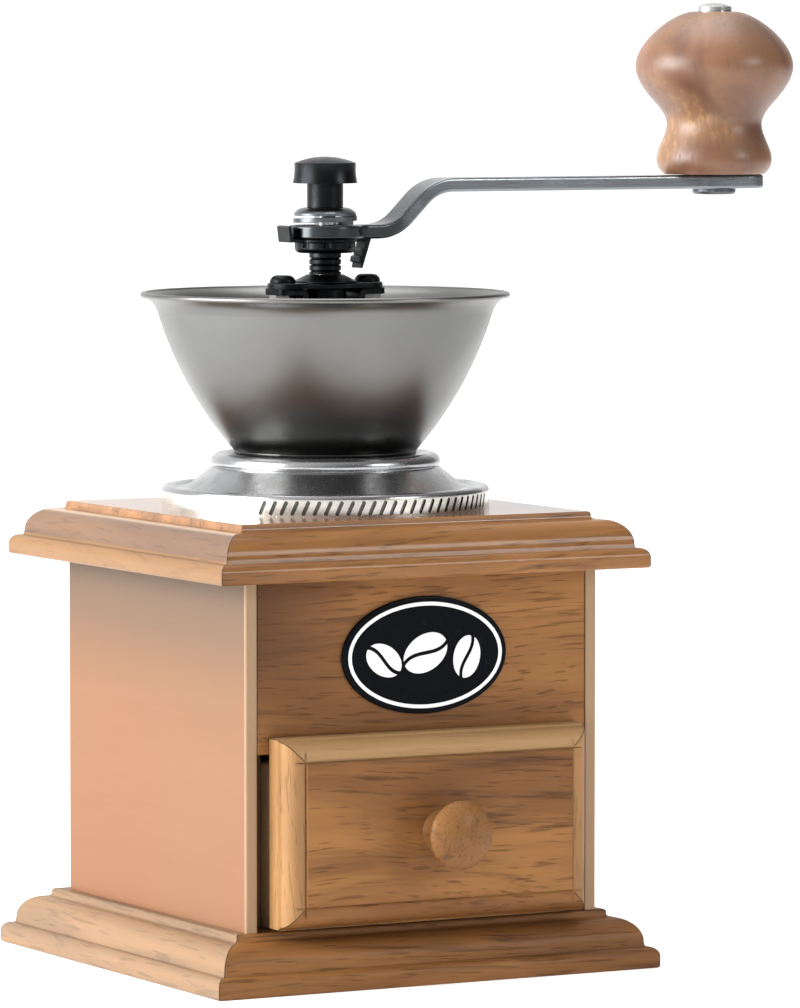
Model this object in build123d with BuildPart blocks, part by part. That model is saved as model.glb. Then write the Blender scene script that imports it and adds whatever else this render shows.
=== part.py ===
from build123d import *

import os

# Hand-cranked burr coffee grinder: a wooden case with a drawer, a steel hopper bowl on a chromed collar,
# and a conical burr set turned by a crank. Millimetres, +Z up. The origin is the centre of the base
# board's underside, the drawer faces -Y, and the crank points along +X at rest.

# ---- driving dimensions ------------------------------------------------------------------------

BASE_WIDTH = 115.0
BASE_HEIGHT = 13.3
TOP_WIDTH = 111.5
TOP_THICKNESS = 12.8

CASE_WIDTH = 91.5
CASE_FRONT = -47.75
CASE_BACK = 43.75
CASE_TOP = 93.2
PANEL = 8.0  # thickness of every wall board
REBATE_STRIP = 2.85  # what is left of a side board beside the panel let into it
PANEL_GAP = 0.1
FRONT_PANEL_BOTTOM = 53.8
EASED_EDGE = 0.5

DRAWER_FRONT_WIDTH = 79.8
DRAWER_FRONT_BOTTOM = 14.2
DRAWER_FRONT_TOP = 57.6
DRAWER_FRONT_BACK = -48.05
DRAWER_FRONT_DEPTH = 8.55
DRAWER_BOX_WIDTH = 74.6
DRAWER_BOX_BOTTOM = 13.5
DRAWER_BOX_TOP = 51.5
DRAWER_BOX_BACK = 32.0
DRAWER_WALL = 5.0
DRAWER_FLOOR = 3.0
DRAWER_KNOB_Z = 35.1

BADGE_Z = 74.8
BADGE_LENGTH = 42.6
BADGE_HEIGHT = 27.0
BADGE_THICKNESS = 1.0
INLAY = 0.15

COLLAR_RADIUS = 38.4
COLLAR_SHEET = 0.8
BOWL_SHEET = 0.8
BOWL_FLOOR_Z = 117.4  # underside of the bowl's floor
BOWL_MOUTH_RADIUS = 12.9  # the hole in the bowl's floor
RIM_RADIUS = 43.3
RIM_TOP = 156.3

CARRIER_BOTTOM = 94.5
CARRIER_RADIUS = 22.3
CARRIER_FOOT_RADIUS = 34.0
CARRIER_SCREW_RADIUS = 28.0  # pitch circle of the carrier's wood screws
CARRIER_SCREW_SHANK = 1.5
CARRIER_SCREW_HEAD = 3.0
GUIDE_SCREW_RADIUS = 19.9  # pitch circle of the lower guide's screws
GUIDE_SCREW_SHANK = 1.25
BURR_RING_RADIUS = 17.5
BURR_RING_TOP = 112.0
BURR_TOOTH_COUNT = 28
BURR_FLUTE_COUNT = 7
BURR_GAP = 0.8  # between the two burrs, at the coarse setting

YOKE_FOOT_X = 16.7
YOKE_SCREW_X = 11.2
YOKE_STRAP = 1.5
YOKE_WIDTH = 9.0
BRIDGE_BOTTOM = 157.2
BRIDGE_THICKNESS = 1.3

SPINDLE_RADIUS = 3.25
SPINDLE_NECK_RADIUS = 2.5
SPINDLE_FLATS = 4.2
SPINDLE_SHOULDER = 151.5
RUNNING_GAP = 0.05  # radial, in every bearing

NUT_BOTTOM = 160.4
NUT_TOP = 168.0
NUT_RADIUS = 7.1
NUT_STEM_RADIUS = 3.75
STOPPER_SHEET = 0.6
ARM_THICKNESS = 3.3
ARM_WIDTH = 8.0
ARM_RISE = 10.75
ARM_END = 119.3
KNOB_X = 106.3
CAP_NUT_RADIUS = 7.6

SPRING_WIRE = 1.1
SPRING_RADIUS = 4.6
SPRING_TURNS = 7

BASE_HALF = BASE_WIDTH / 2
TOP_HALF = TOP_WIDTH / 2
CASE_HALF = CASE_WIDTH / 2
CASE_MIDDLE = (CASE_FRONT + CASE_BACK) / 2
CASE_DEPTH = CASE_BACK - CASE_FRONT
TOP_Z = CASE_TOP + TOP_THICKNESS
ARM_BOTTOM = NUT_TOP + STOPPER_SHEET
ARM_TOP = ARM_BOTTOM + ARM_THICKNESS
REACH_BOTTOM = ARM_BOTTOM + ARM_RISE  # underside of the arm's long run
REACH_TOP = REACH_BOTTOM + ARM_THICKNESS
BRIDGE_TOP = BRIDGE_BOTTOM + BRIDGE_THICKNESS
BOWL_FLOOR_TOP = BOWL_FLOOR_Z + BOWL_SHEET

os.makedirs("parts", exist_ok=True)


# ---- shapes used more than once ----------------------------------------------------------------


def moulding(plane, half, z_bottom, lip, step_top, ovolo_foot, ovolo_head, shelf_in, height):
    """A moulded board's whole section on one plane: a rounded lip, a step, an ovolo, then a raised platform."""
    nose = 2.6
    ease = 0.4
    cove = 0.8
    with BuildSketch(plane) as section:
        with BuildLine():
            Polyline((0, z_bottom), (half - ease, z_bottom), (half, z_bottom + ease), (half, z_bottom + lip))
            nose_top = (half - nose, z_bottom + lip + 2.0)
            TangentArc((half, z_bottom + lip), nose_top, tangent=(0, 1))
            Line(nose_top, (half - ovolo_foot, z_bottom + step_top))
            ovolo_end = (half - ovolo_head, z_bottom + height - 1.9)
            TangentArc((half - ovolo_foot, z_bottom + step_top), ovolo_end, tangent=(0, 1))
            shelf_end = (half - shelf_in + cove, z_bottom + height - 1.8)
            Line(ovolo_end, shelf_end)
            cove_end = (half - shelf_in, z_bottom + height - 1.8 + cove)
            TangentArc(shelf_end, cove_end, tangent=(-1, 0))
            platform_edge = (half - shelf_in, z_bottom + height - ease)
            Line(cove_end, platform_edge)
            Polyline(platform_edge, (half - shelf_in - ease, z_bottom + height), (0, z_bottom + height))
            Line((0, z_bottom + height), (0, z_bottom))
        make_face()
        mirror(about=Plane.YZ)
    return section.sketch


def countersunk_screw(head_radius, shank_radius, length):
    """A cross-headed wood screw with its head's face at z = 0 and its point at z = -length."""
    shoulder = head_radius - shank_radius
    with BuildPart() as screw:
        with BuildSketch(Plane.XZ):
            Polygon(
                (0, 0),
                (head_radius, 0),
                (shank_radius, -shoulder),
                (shank_radius, 2 * shank_radius - length),
                (0, -length),
                align=None,
            )
        revolve(axis=Axis.Z)
        with BuildSketch(Plane.XY):
            Rectangle(1.1 * head_radius, 0.25 * head_radius)
            Rectangle(0.25 * head_radius, 1.1 * head_radius)
        extrude(amount=-0.8 * shoulder, mode=Mode.SUBTRACT)
    return screw.part


def pan_head_screw(head_radius, head_height, shank_radius, length):
    """A slotted machine screw with the underside of its head at z = 0 and its end at z = -length."""
    with BuildPart() as screw:
        with BuildSketch(Plane.XZ):
            with BuildLine():
                crown = (0.45 * head_radius, head_height)
                Line((0, head_height), crown)
                TangentArc(crown, (head_radius, 0.3 * head_height), tangent=(1, 0))
                Polyline((head_radius, 0.3 * head_height), (head_radius, 0), (shank_radius, 0))
                tip = 0.3 * shank_radius
                Polyline((shank_radius, 0), (shank_radius, tip - length), (shank_radius - tip, -length))
                Polyline((shank_radius - tip, -length), (0, -length), (0, head_height))
            make_face()
        revolve(axis=Axis.Z)
        with BuildSketch(Plane.XY.offset(head_height)):
            Rectangle(3 * head_radius, 0.28 * head_radius)
        extrude(amount=-0.45 * head_height, mode=Mode.SUBTRACT)
    return screw.part


# ---- wooden case -------------------------------------------------------------------------------

base_sections = [
    moulding(plane, BASE_HALF, 0, lip=2.8, step_top=6.0, ovolo_foot=2.8, ovolo_head=7.5, shelf_in=9.2,
             height=BASE_HEIGHT)
    for plane in (Plane.XZ, Plane.YZ)
]
top_sections = [
    moulding(plane, TOP_HALF, CASE_TOP, lip=2.5, step_top=5.5, ovolo_foot=2.8, ovolo_head=7.2, shelf_in=10.2,
             height=TOP_THICKNESS)
    for plane in (Plane.XZ, Plane.YZ)
]

BASE_SCREW_RADIUS = 2.0
BASE_SCREW_HEAD = 4.0
BASE_SCREW_SINK = 0.6
BASE_SCREW_LENGTH = 30.0
BASE_SCREW_X = CASE_HALF - PANEL / 2
CASE_SCREW_PITCH = 56.0
DOWEL_RADIUS = 3.0
DOWEL_DEPTH = 8.0

underside = Plane(origin=(0, CASE_MIDDLE, 0), x_dir=(1, 0, 0), z_dir=(0, 0, -1))

with BuildPart() as base_board:
    extrude(base_sections[0], amount=BASE_HALF, both=True)
    extrude(base_sections[1], amount=BASE_HALF, both=True, mode=Mode.INTERSECT)
    with Locations(underside):
        with GridLocations(2 * BASE_SCREW_X, CASE_SCREW_PITCH, 2, 2):
            Cylinder(BASE_SCREW_HEAD + 0.3, BASE_SCREW_SINK, align=(Align.CENTER, Align.CENTER, Align.MAX),
                     mode=Mode.SUBTRACT)
    with Locations(underside.offset(-BASE_SCREW_SINK)):
        with GridLocations(2 * BASE_SCREW_X, CASE_SCREW_PITCH, 2, 2):
            CounterSinkHole(BASE_SCREW_RADIUS + RUNNING_GAP, BASE_SCREW_HEAD + RUNNING_GAP, depth=BASE_HEIGHT)

with BuildPart() as top_board:
    extrude(top_sections[0], amount=TOP_HALF, both=True)
    extrude(top_sections[1], amount=TOP_HALF, both=True, mode=Mode.INTERSECT)
    with Locations((0, 0, TOP_Z)):
        Hole(CARRIER_RADIUS + 0.3)
    with PolarLocations(CARRIER_SCREW_RADIUS, 4, start_angle=45):
        with Locations((0, 0, TOP_Z)):
            Hole(CARRIER_SCREW_SHANK + RUNNING_GAP, depth=10.0)
    with Locations(Plane(origin=(0, CASE_MIDDLE, CASE_TOP), x_dir=(1, 0, 0), z_dir=(0, 0, -1))):
        with GridLocations(2 * BASE_SCREW_X, CASE_SCREW_PITCH, 2, 2):
            Hole(DOWEL_RADIUS + RUNNING_GAP, depth=DOWEL_DEPTH + 0.3)

side_panels = {}
for side, name in ((-1, "left_side_panel"), (1, "right_side_panel")):
    board_x = side * (CASE_HALF - PANEL / 2)
    with BuildPart() as side_panel:
        with BuildSketch(Plane.XY.offset(BASE_HEIGHT)):
            with Locations((board_x, CASE_MIDDLE)):
                Rectangle(PANEL, CASE_DEPTH)
        extrude(amount=CASE_TOP - BASE_HEIGHT)
        outer_edges = side_panel.edges().filter_by(Axis.Z).sort_by(Axis.X)
        fillet(outer_edges[:2] if side < 0 else outer_edges[-2:], EASED_EDGE)
        rebate_x = side * (CASE_HALF - REBATE_STRIP - PANEL / 2)
        with BuildSketch(Plane.XY.offset(BASE_HEIGHT)):
            with Locations((rebate_x, CASE_FRONT), (rebate_x, CASE_BACK)):
                Rectangle(PANEL, 2 * PANEL)
        extrude(amount=CASE_TOP - BASE_HEIGHT, mode=Mode.SUBTRACT)
        with Locations(Plane.XY.offset(CASE_TOP)):
            with Locations(*[(board_x, CASE_MIDDLE + end * CASE_SCREW_PITCH / 2) for end in (-1, 1)]):
                Hole(DOWEL_RADIUS + RUNNING_GAP, depth=DOWEL_DEPTH + 0.3)
        with Locations(Plane(origin=(0, 0, BASE_HEIGHT), x_dir=(1, 0, 0), z_dir=(0, 0, -1))):
            with Locations(
                (board_x, -CASE_MIDDLE - CASE_SCREW_PITCH / 2), (board_x, -CASE_MIDDLE + CASE_SCREW_PITCH / 2)
            ):
                Hole(BASE_SCREW_RADIUS + RUNNING_GAP, depth=BASE_SCREW_LENGTH - BASE_HEIGHT + 2)
    side_panels[name] = side_panel

PANEL_WIDTH = CASE_WIDTH - 2 * (REBATE_STRIP + PANEL_GAP)

with BuildPart() as front_panel:
    with BuildSketch(Plane.XY.offset(FRONT_PANEL_BOTTOM)):
        with Locations((0, CASE_FRONT + PANEL / 2)):
            Rectangle(PANEL_WIDTH, PANEL)
    extrude(amount=CASE_TOP - FRONT_PANEL_BOTTOM)
    face_edges = front_panel.faces().sort_by(Axis.Y)[0].edges()
    chamfer(face_edges, 0.35)

with BuildPart() as back_panel:
    with BuildSketch(Plane.XY.offset(BASE_HEIGHT)):
        with Locations((0, CASE_BACK - PANEL / 2)):
            Rectangle(PANEL_WIDTH, PANEL)
    extrude(amount=CASE_TOP - BASE_HEIGHT)
    chamfer(back_panel.faces().sort_by(Axis.Y)[-1].edges().filter_by(Axis.Z), 0.35)

base_screw = countersunk_screw(BASE_SCREW_HEAD, BASE_SCREW_RADIUS, BASE_SCREW_LENGTH)
with BuildPart() as base_screws:
    with Locations(underside.offset(-BASE_SCREW_SINK)):
        with GridLocations(2 * BASE_SCREW_X, CASE_SCREW_PITCH, 2, 2):
            add(base_screw)

with BuildPart() as top_dowels:
    with Locations((0, CASE_MIDDLE, CASE_TOP)):
        with GridLocations(2 * BASE_SCREW_X, CASE_SCREW_PITCH, 2, 2):
            Cylinder(DOWEL_RADIUS, 2 * DOWEL_DEPTH)
    chamfer(top_dowels.edges().filter_by(GeomType.CIRCLE), 0.6)

# ---- badge -------------------------------------------------------------------------------------

badge_back = Plane(origin=(0, CASE_FRONT, BADGE_Z), x_dir=(1, 0, 0), z_dir=(0, -1, 0))
RING_INSET = 1.3
RING_WIDTH = 0.85
BEAN_LENGTH = 12.0
BEAN_WIDTH = 8.4
BEAN_CREASE = 0.9
BEANS = ((0, 0.5, 28, 1.0), (-10.8, -0.8, -32, 0.82), (10.8, -0.8, 78, 0.82))  # x, y, tilt, size

with BuildPart() as badge_plate:
    with BuildSketch(badge_back):
        Ellipse(BADGE_LENGTH / 2, BADGE_HEIGHT / 2)
    extrude(amount=BADGE_THICKNESS)
    fillet(badge_plate.faces().sort_by(Axis.Y)[0].edges(), 0.35)


def bean(size):
    """A coffee bean's outline, cut in two by its wavy crease."""
    half = size * BEAN_LENGTH / 2
    with BuildSketch() as shape:
        Ellipse(half, size * BEAN_WIDTH / 2)
        with BuildLine() as crease:
            Spline(
                (-half - BEAN_CREASE, 0),
                (-half / 2, size * BEAN_CREASE),
                (half / 2, -size * BEAN_CREASE),
                (half + BEAN_CREASE, 0),
            )
        trace(crease.line, line_width=BEAN_CREASE, mode=Mode.SUBTRACT)
    return shape.sketch


with BuildPart() as badge_inlay:
    with BuildSketch(badge_back.offset(BADGE_THICKNESS)):
        ring_half_length = BADGE_LENGTH / 2 - RING_INSET
        ring_half_height = BADGE_HEIGHT / 2 - RING_INSET
        Ellipse(ring_half_length, ring_half_height)
        Ellipse(ring_half_length - RING_WIDTH, ring_half_height - RING_WIDTH, mode=Mode.SUBTRACT)
        for bean_x, bean_y, tilt, size in BEANS:
            with Locations(Location((bean_x, bean_y, 0), (0, 0, tilt))):
                add(bean(size))
    extrude(amount=INLAY)

# ---- drawer ------------------------------------------------------------------------------------

FIELD_INSET = 5.3
LIP_DEPTH = 4.4
DRAWER_MIDDLE_Z = (DRAWER_FRONT_BOTTOM + DRAWER_FRONT_TOP) / 2
DRAWER_FRONT_HEIGHT = DRAWER_FRONT_TOP - DRAWER_FRONT_BOTTOM


def raised_panel(plane, half):
    """The drawer front's section: a lip, a quirk, an ovolo border and a proud field; x across, y outwards."""
    quirk = 0.6
    field_rise = 0.55
    ease = 0.35
    with BuildSketch(plane) as section:
        with BuildLine():
            Polyline((0, 0), (half, 0), (half, LIP_DEPTH - ease), (half - ease, LIP_DEPTH))
            ovolo_foot = (half - quirk, LIP_DEPTH + 0.25)
            Line((half - ease, LIP_DEPTH), ovolo_foot)
            ovolo_head = (half - FIELD_INSET + 0.5, DRAWER_FRONT_DEPTH - field_rise)
            TangentArc(ovolo_foot, ovolo_head, tangent=(0, 1))
            Polyline(
                ovolo_head,
                (half - FIELD_INSET, DRAWER_FRONT_DEPTH - field_rise - 0.3),
                (half - FIELD_INSET, DRAWER_FRONT_DEPTH - 0.2),
                (half - FIELD_INSET - 0.2, DRAWER_FRONT_DEPTH),
                (0, DRAWER_FRONT_DEPTH),
                (0, 0),
            )
        make_face()
        mirror(about=Plane.YZ)
    return section.sketch


front_origin = (0, DRAWER_FRONT_BACK, DRAWER_MIDDLE_Z)
drawer_sections = [
    raised_panel(Plane(origin=front_origin, x_dir=(1, 0, 0), z_dir=(0, 0, 1)).rotated((180, 0, 0)),
                 DRAWER_FRONT_WIDTH / 2),
    raised_panel(Plane(origin=front_origin, x_dir=(0, 0, 1), z_dir=(1, 0, 0)), DRAWER_FRONT_HEIGHT / 2),
]
KNOB_SCREW_RADIUS = 1.75
knob_seat = (0, DRAWER_FRONT_BACK - DRAWER_FRONT_DEPTH, DRAWER_KNOB_Z)
knob_axis = Plane(origin=knob_seat, x_dir=(1, 0, 0), z_dir=(0, -1, 0))

with BuildPart() as drawer_front:
    extrude(drawer_sections[0], amount=DRAWER_FRONT_HEIGHT / 2, both=True)
    extrude(drawer_sections[1], amount=DRAWER_FRONT_WIDTH / 2, both=True, mode=Mode.INTERSECT)
    with Locations(knob_axis):
        Hole(KNOB_SCREW_RADIUS + RUNNING_GAP, depth=DRAWER_FRONT_DEPTH)

BOX_HEIGHT = DRAWER_BOX_TOP - DRAWER_BOX_BOTTOM
BOX_LENGTH = DRAWER_BOX_BACK - DRAWER_FRONT_BACK
INNER_WIDTH = DRAWER_BOX_WIDTH - 2 * DRAWER_WALL
GROOVE_DEPTH = 2.0
GROOVE_Z = DRAWER_BOX_BOTTOM + 2.0

with BuildPart() as drawer_box_front:
    with BuildSketch(Plane.XY.offset(DRAWER_BOX_BOTTOM)):
        with Locations((0, DRAWER_FRONT_BACK + DRAWER_WALL / 2)):
            Rectangle(INNER_WIDTH, DRAWER_WALL)
    extrude(amount=BOX_HEIGHT)
    with Locations((0, DRAWER_FRONT_BACK + DRAWER_WALL, GROOVE_Z + DRAWER_FLOOR / 2)):
        Box(INNER_WIDTH, 2 * GROOVE_DEPTH, DRAWER_FLOOR, mode=Mode.SUBTRACT)
    with Locations(knob_axis):
        Hole(KNOB_SCREW_RADIUS + RUNNING_GAP, depth=DRAWER_FRONT_DEPTH + DRAWER_WALL)

with BuildPart() as drawer_back:
    with BuildSketch(Plane.XY.offset(DRAWER_BOX_BOTTOM)):
        with Locations((0, DRAWER_BOX_BACK - DRAWER_WALL / 2)):
            Rectangle(INNER_WIDTH, DRAWER_WALL)
    extrude(amount=BOX_HEIGHT)
    with Locations((0, DRAWER_BOX_BACK - DRAWER_WALL, GROOVE_Z + DRAWER_FLOOR / 2)):
        Box(INNER_WIDTH, 2 * GROOVE_DEPTH, DRAWER_FLOOR, mode=Mode.SUBTRACT)
    fillet(drawer_back.edges().filter_by(Axis.X).group_by(Axis.Z)[-1], 1.0)

drawer_sides = {}
for side, name in ((-1, "drawer_left_side"), (1, "drawer_right_side")):
    wall_x = side * (DRAWER_BOX_WIDTH - DRAWER_WALL) / 2
    with BuildPart() as drawer_side:
        with BuildSketch(Plane.XY.offset(DRAWER_BOX_BOTTOM)):
            with Locations((wall_x, (DRAWER_FRONT_BACK + DRAWER_BOX_BACK) / 2)):
                Rectangle(DRAWER_WALL, BOX_LENGTH)
        extrude(amount=BOX_HEIGHT)
        with Locations((side * INNER_WIDTH / 2, (DRAWER_FRONT_BACK + DRAWER_BOX_BACK) / 2,
                        GROOVE_Z + DRAWER_FLOOR / 2)):
            Box(2 * GROOVE_DEPTH, BOX_LENGTH - 2 * (DRAWER_WALL - GROOVE_DEPTH), DRAWER_FLOOR, mode=Mode.SUBTRACT)
        fillet(drawer_side.edges().filter_by(Axis.Y).group_by(Axis.Z)[-1], 1.0)
    drawer_sides[name] = drawer_side

with BuildPart() as drawer_bottom:
    with BuildSketch(Plane.XY.offset(GROOVE_Z)):
        with Locations((0, (DRAWER_FRONT_BACK + DRAWER_BOX_BACK) / 2)):
            Rectangle(INNER_WIDTH + 2 * GROOVE_DEPTH, BOX_LENGTH - 2 * (DRAWER_WALL - GROOVE_DEPTH))
    extrude(amount=DRAWER_FLOOR)

PULL_RADIUS = 7.75
PULL_NECK = 4.2
PULL_LENGTH = 12.6
PULL_WIDEST = 8.6

with BuildPart() as drawer_knob:
    with BuildSketch(Plane(origin=knob_axis.origin, x_dir=(1, 0, 0), z_dir=(0, 0, 1)).rotated((180, 0, 0))):
        with BuildLine():
            Line((0, 0), (PULL_NECK + 0.8, 0))
            neck = (PULL_NECK, 3.2)
            ThreePointArc((PULL_NECK + 0.8, 0), (PULL_NECK + 0.15, 1.5), neck)
            Spline(
                neck,
                (PULL_RADIUS, PULL_WIDEST),
                (0, PULL_LENGTH),
                tangents=((0, 1), (-1, 0)),
            )
            Line((0, PULL_LENGTH), (0, 0))
        make_face()
    revolve(axis=Axis(knob_axis.origin, (0, 1, 0)))
    with Locations(knob_axis):
        with Locations(Location((0, 0, 0), (180, 0, 0))):
            Hole(KNOB_SCREW_RADIUS + RUNNING_GAP, depth=8.2)

pull_screw = pan_head_screw(3.6, 2.0, KNOB_SCREW_RADIUS, DRAWER_WALL + DRAWER_FRONT_DEPTH + 8.0)
with BuildPart() as drawer_knob_screw:
    with Locations(Plane(origin=(0, DRAWER_FRONT_BACK + DRAWER_WALL, DRAWER_KNOB_Z), x_dir=(1, 0, 0),
                         z_dir=(0, 1, 0))):
        add(pull_screw)

# ---- collar, bowl and burr housing -------------------------------------------------------------

COLLAR_SHOULDER = 109.9
YOKE_SCREW_RADIUS = 1.5
ORNAMENT_REEDS = 26
ORNAMENT_SPREAD = 100.0  # degrees of the skirt that the reeding covers, centred on the front

# one slanted reed of the stamped band on the front of the collar's skirt
with BuildPart() as reed_cut:
    with BuildSketch(Plane(origin=(COLLAR_RADIUS - 0.35, 0, 108.0), x_dir=(0, 1, 0), z_dir=(1, 0, 0))):
        with Locations(Location((0, 0, 0), (0, 0, -24))):
            SlotOverall(3.6, 0.9, rotation=90)
    extrude(amount=1.0)

with BuildPart() as base_flange:
    with BuildSketch(Plane.XZ):
        with BuildLine():
            bead_top = (COLLAR_RADIUS - 1.5, 111.1)
            Line((COLLAR_RADIUS, TOP_Z), (COLLAR_RADIUS, COLLAR_SHOULDER))
            TangentArc((COLLAR_RADIUS, COLLAR_SHOULDER), bead_top, tangent=(0, 1))
            ledge = (COLLAR_RADIUS - 3.0, 110.5)
            TangentArc(bead_top, ledge, tangent=(-1, 0))
            cone_foot = (32.6, 110.7)
            Line(ledge, cone_foot)
            cone_head = (26.6, 115.5)
            Line(cone_foot, cone_head)
            bead_crown = (25.0, 118.7)
            ThreePointArc(cone_head, (26.8, 117.3), bead_crown)
            lip_start = (22.6, BOWL_FLOOR_Z)
            TangentArc(bead_crown, lip_start, tangent=(-1, 0))
            Line(lip_start, (BOWL_MOUTH_RADIUS + 0.4, BOWL_FLOOR_Z))
            offset(amount=COLLAR_SHEET, side=Side.LEFT)
        make_face()
    revolve(axis=Axis.Z)
    first_angle = -90 - ORNAMENT_SPREAD / 2
    with PolarLocations(0, ORNAMENT_REEDS, start_angle=first_angle, angular_range=ORNAMENT_SPREAD):
        add(reed_cut.part, mode=Mode.SUBTRACT)
    with PolarLocations(YOKE_FOOT_X, 2):
        with Locations((0, 0, BOWL_FLOOR_Z)):
            Hole(YOKE_SCREW_RADIUS + RUNNING_GAP, depth=2 * COLLAR_SHEET)

BOWL_WALL_FOOT = (21.4, 119.2)
BOWL_WALL_MIDDLE = (33.0, 136.3)
BOWL_WALL_HEAD = (39.3, 151.8)
RIM_BEAD = 0.65

with BuildPart() as hopper_bowl:
    with BuildSketch(Plane.XZ):
        with BuildLine():
            Line((BOWL_MOUTH_RADIUS, BOWL_FLOOR_Z), (19.8, BOWL_FLOOR_Z))
            TangentArc((19.8, BOWL_FLOOR_Z), BOWL_WALL_FOOT, tangent=(1, 0))
            ThreePointArc(BOWL_WALL_FOOT, BOWL_WALL_MIDDLE, BOWL_WALL_HEAD)
            TangentArc(BOWL_WALL_HEAD, (RIM_RADIUS - RIM_BEAD, RIM_TOP - 2 * RIM_BEAD + 0.3), tangent=(0.35, 1))
            offset(amount=BOWL_SHEET, side=Side.LEFT)
        make_face()
        with Locations((RIM_RADIUS - RIM_BEAD, RIM_TOP - RIM_BEAD)):
            Circle(RIM_BEAD)
    revolve(axis=Axis.Z)
    with PolarLocations(YOKE_FOOT_X, 2):
        with Locations((0, 0, BOWL_FLOOR_TOP)):
            Hole(YOKE_SCREW_RADIUS + RUNNING_GAP, depth=2 * BOWL_SHEET)

with BuildPart() as burr_carrier:
    with BuildSketch(Plane.XZ):
        Polygon(
            (BURR_RING_RADIUS + RUNNING_GAP, CARRIER_BOTTOM),
            (CARRIER_RADIUS, CARRIER_BOTTOM),
            (CARRIER_RADIUS, TOP_Z),
            (CARRIER_FOOT_RADIUS, TOP_Z),
            (CARRIER_FOOT_RADIUS, TOP_Z + 3.0),
            (CARRIER_RADIUS, TOP_Z + 3.6),
            (CARRIER_RADIUS - 1.0, BOWL_FLOOR_Z - COLLAR_SHEET),
            (BOWL_MOUTH_RADIUS, BOWL_FLOOR_Z - COLLAR_SHEET),
            (BOWL_MOUTH_RADIUS, BURR_RING_TOP),
            (BURR_RING_RADIUS + RUNNING_GAP, BURR_RING_TOP),
            align=None,
        )
    revolve(axis=Axis.Z)
    with PolarLocations(YOKE_FOOT_X, 2):
        with Locations((0, 0, BOWL_FLOOR_Z - COLLAR_SHEET)):
            Hole(YOKE_SCREW_RADIUS + RUNNING_GAP, depth=4.5)
    with PolarLocations(CARRIER_SCREW_RADIUS, 4, start_angle=45):
        with Locations((0, 0, TOP_Z + 3.1)):
            CounterSinkHole(CARRIER_SCREW_SHANK + RUNNING_GAP, CARRIER_SCREW_HEAD + RUNNING_GAP, depth=4)
    with Locations(Plane(origin=(0, 0, CARRIER_BOTTOM), x_dir=(1, 0, 0), z_dir=(0, 0, -1))):
        with PolarLocations(GUIDE_SCREW_RADIUS, 3, start_angle=-90):
            Hole(GUIDE_SCREW_SHANK + RUNNING_GAP, depth=8.3)

carrier_screw = countersunk_screw(CARRIER_SCREW_HEAD, CARRIER_SCREW_SHANK, 12.0)
with BuildPart() as carrier_screws:
    with PolarLocations(CARRIER_SCREW_RADIUS, 4, start_angle=45):
        with Locations((0, 0, TOP_Z + 3.1)):
            add(carrier_screw)

# ---- burrs and lower guide ---------------------------------------------------------------------

BURR_BOTTOM = 95.5
BURR_WAIST = 101.0  # the fine teeth end and the breaking flutes begin
BURR_TOP = 113.0
BURR_BOTTOM_RADIUS = 13.0
BURR_WAIST_RADIUS = 10.45
BURR_TOP_RADIUS = 5.6
RING_THROAT_RADIUS = BURR_WAIST_RADIUS + BURR_GAP
RING_BOTTOM_RADIUS = BURR_BOTTOM_RADIUS + BURR_GAP + 0.47
RING_MOUTH_RADIUS = 12.5
TOOTH_DEPTH = 0.9
FLUTE_DEPTH = 2.4
PIN_RADIUS = 1.0
PIN_LENGTH = 18.0
pin_axis = Plane(origin=(0, 0, BURR_BOTTOM + 1.6), x_dir=(0, 1, 0), z_dir=(1, 0, 0))


def v_cutter(start, end, half_width, depth, outwards):
    """A V-groove's cutter that runs from start to end in the XZ plane, deepest away from its open side."""
    run = Vector(end[0] - start[0], 0, end[1] - start[1])
    skew = Vector(0, 0.35 * run.length, 0)
    along = (run + skew).normalized()
    face_plane = Plane(origin=(start[0], 0, start[1]), x_dir=(0, 1, 0), z_dir=along)
    reach = depth * outwards
    with BuildPart() as cutter:
        with BuildSketch(face_plane):
            Polygon((-half_width, reach * 0.6), (half_width, reach * 0.6), (0, -reach), align=None)
        extrude(amount=(run + skew).length)
    return cutter.part


inner_tooth_gap = v_cutter((BURR_BOTTOM_RADIUS + 0.1, BURR_BOTTOM - 0.4), (BURR_WAIST_RADIUS, BURR_WAIST), 0.9,
                           TOOTH_DEPTH, outwards=1)
inner_flute = v_cutter((BURR_WAIST_RADIUS - 0.4, BURR_WAIST - 0.6), (BURR_TOP_RADIUS - 0.9, BURR_TOP + 2), 2.4,
                       FLUTE_DEPTH, outwards=1)
with BuildPart() as inner_burr:
    with BuildSketch(Plane.XZ):
        Polygon(
            (SPINDLE_RADIUS + 0.02, BURR_BOTTOM),
            (BURR_BOTTOM_RADIUS, BURR_BOTTOM),
            (BURR_WAIST_RADIUS, BURR_WAIST),
            (BURR_TOP_RADIUS, BURR_TOP),
            (SPINDLE_RADIUS + 0.02, BURR_TOP),
            align=None,
        )
    revolve(axis=Axis.Z)
    with PolarLocations(0, BURR_TOOTH_COUNT):
        add(inner_tooth_gap, mode=Mode.SUBTRACT)
    with PolarLocations(0, BURR_FLUTE_COUNT):
        add(inner_flute, mode=Mode.SUBTRACT)
    with Locations(pin_axis):
        Cylinder(PIN_RADIUS + 0.02, 3 * BURR_BOTTOM_RADIUS, mode=Mode.SUBTRACT)

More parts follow.
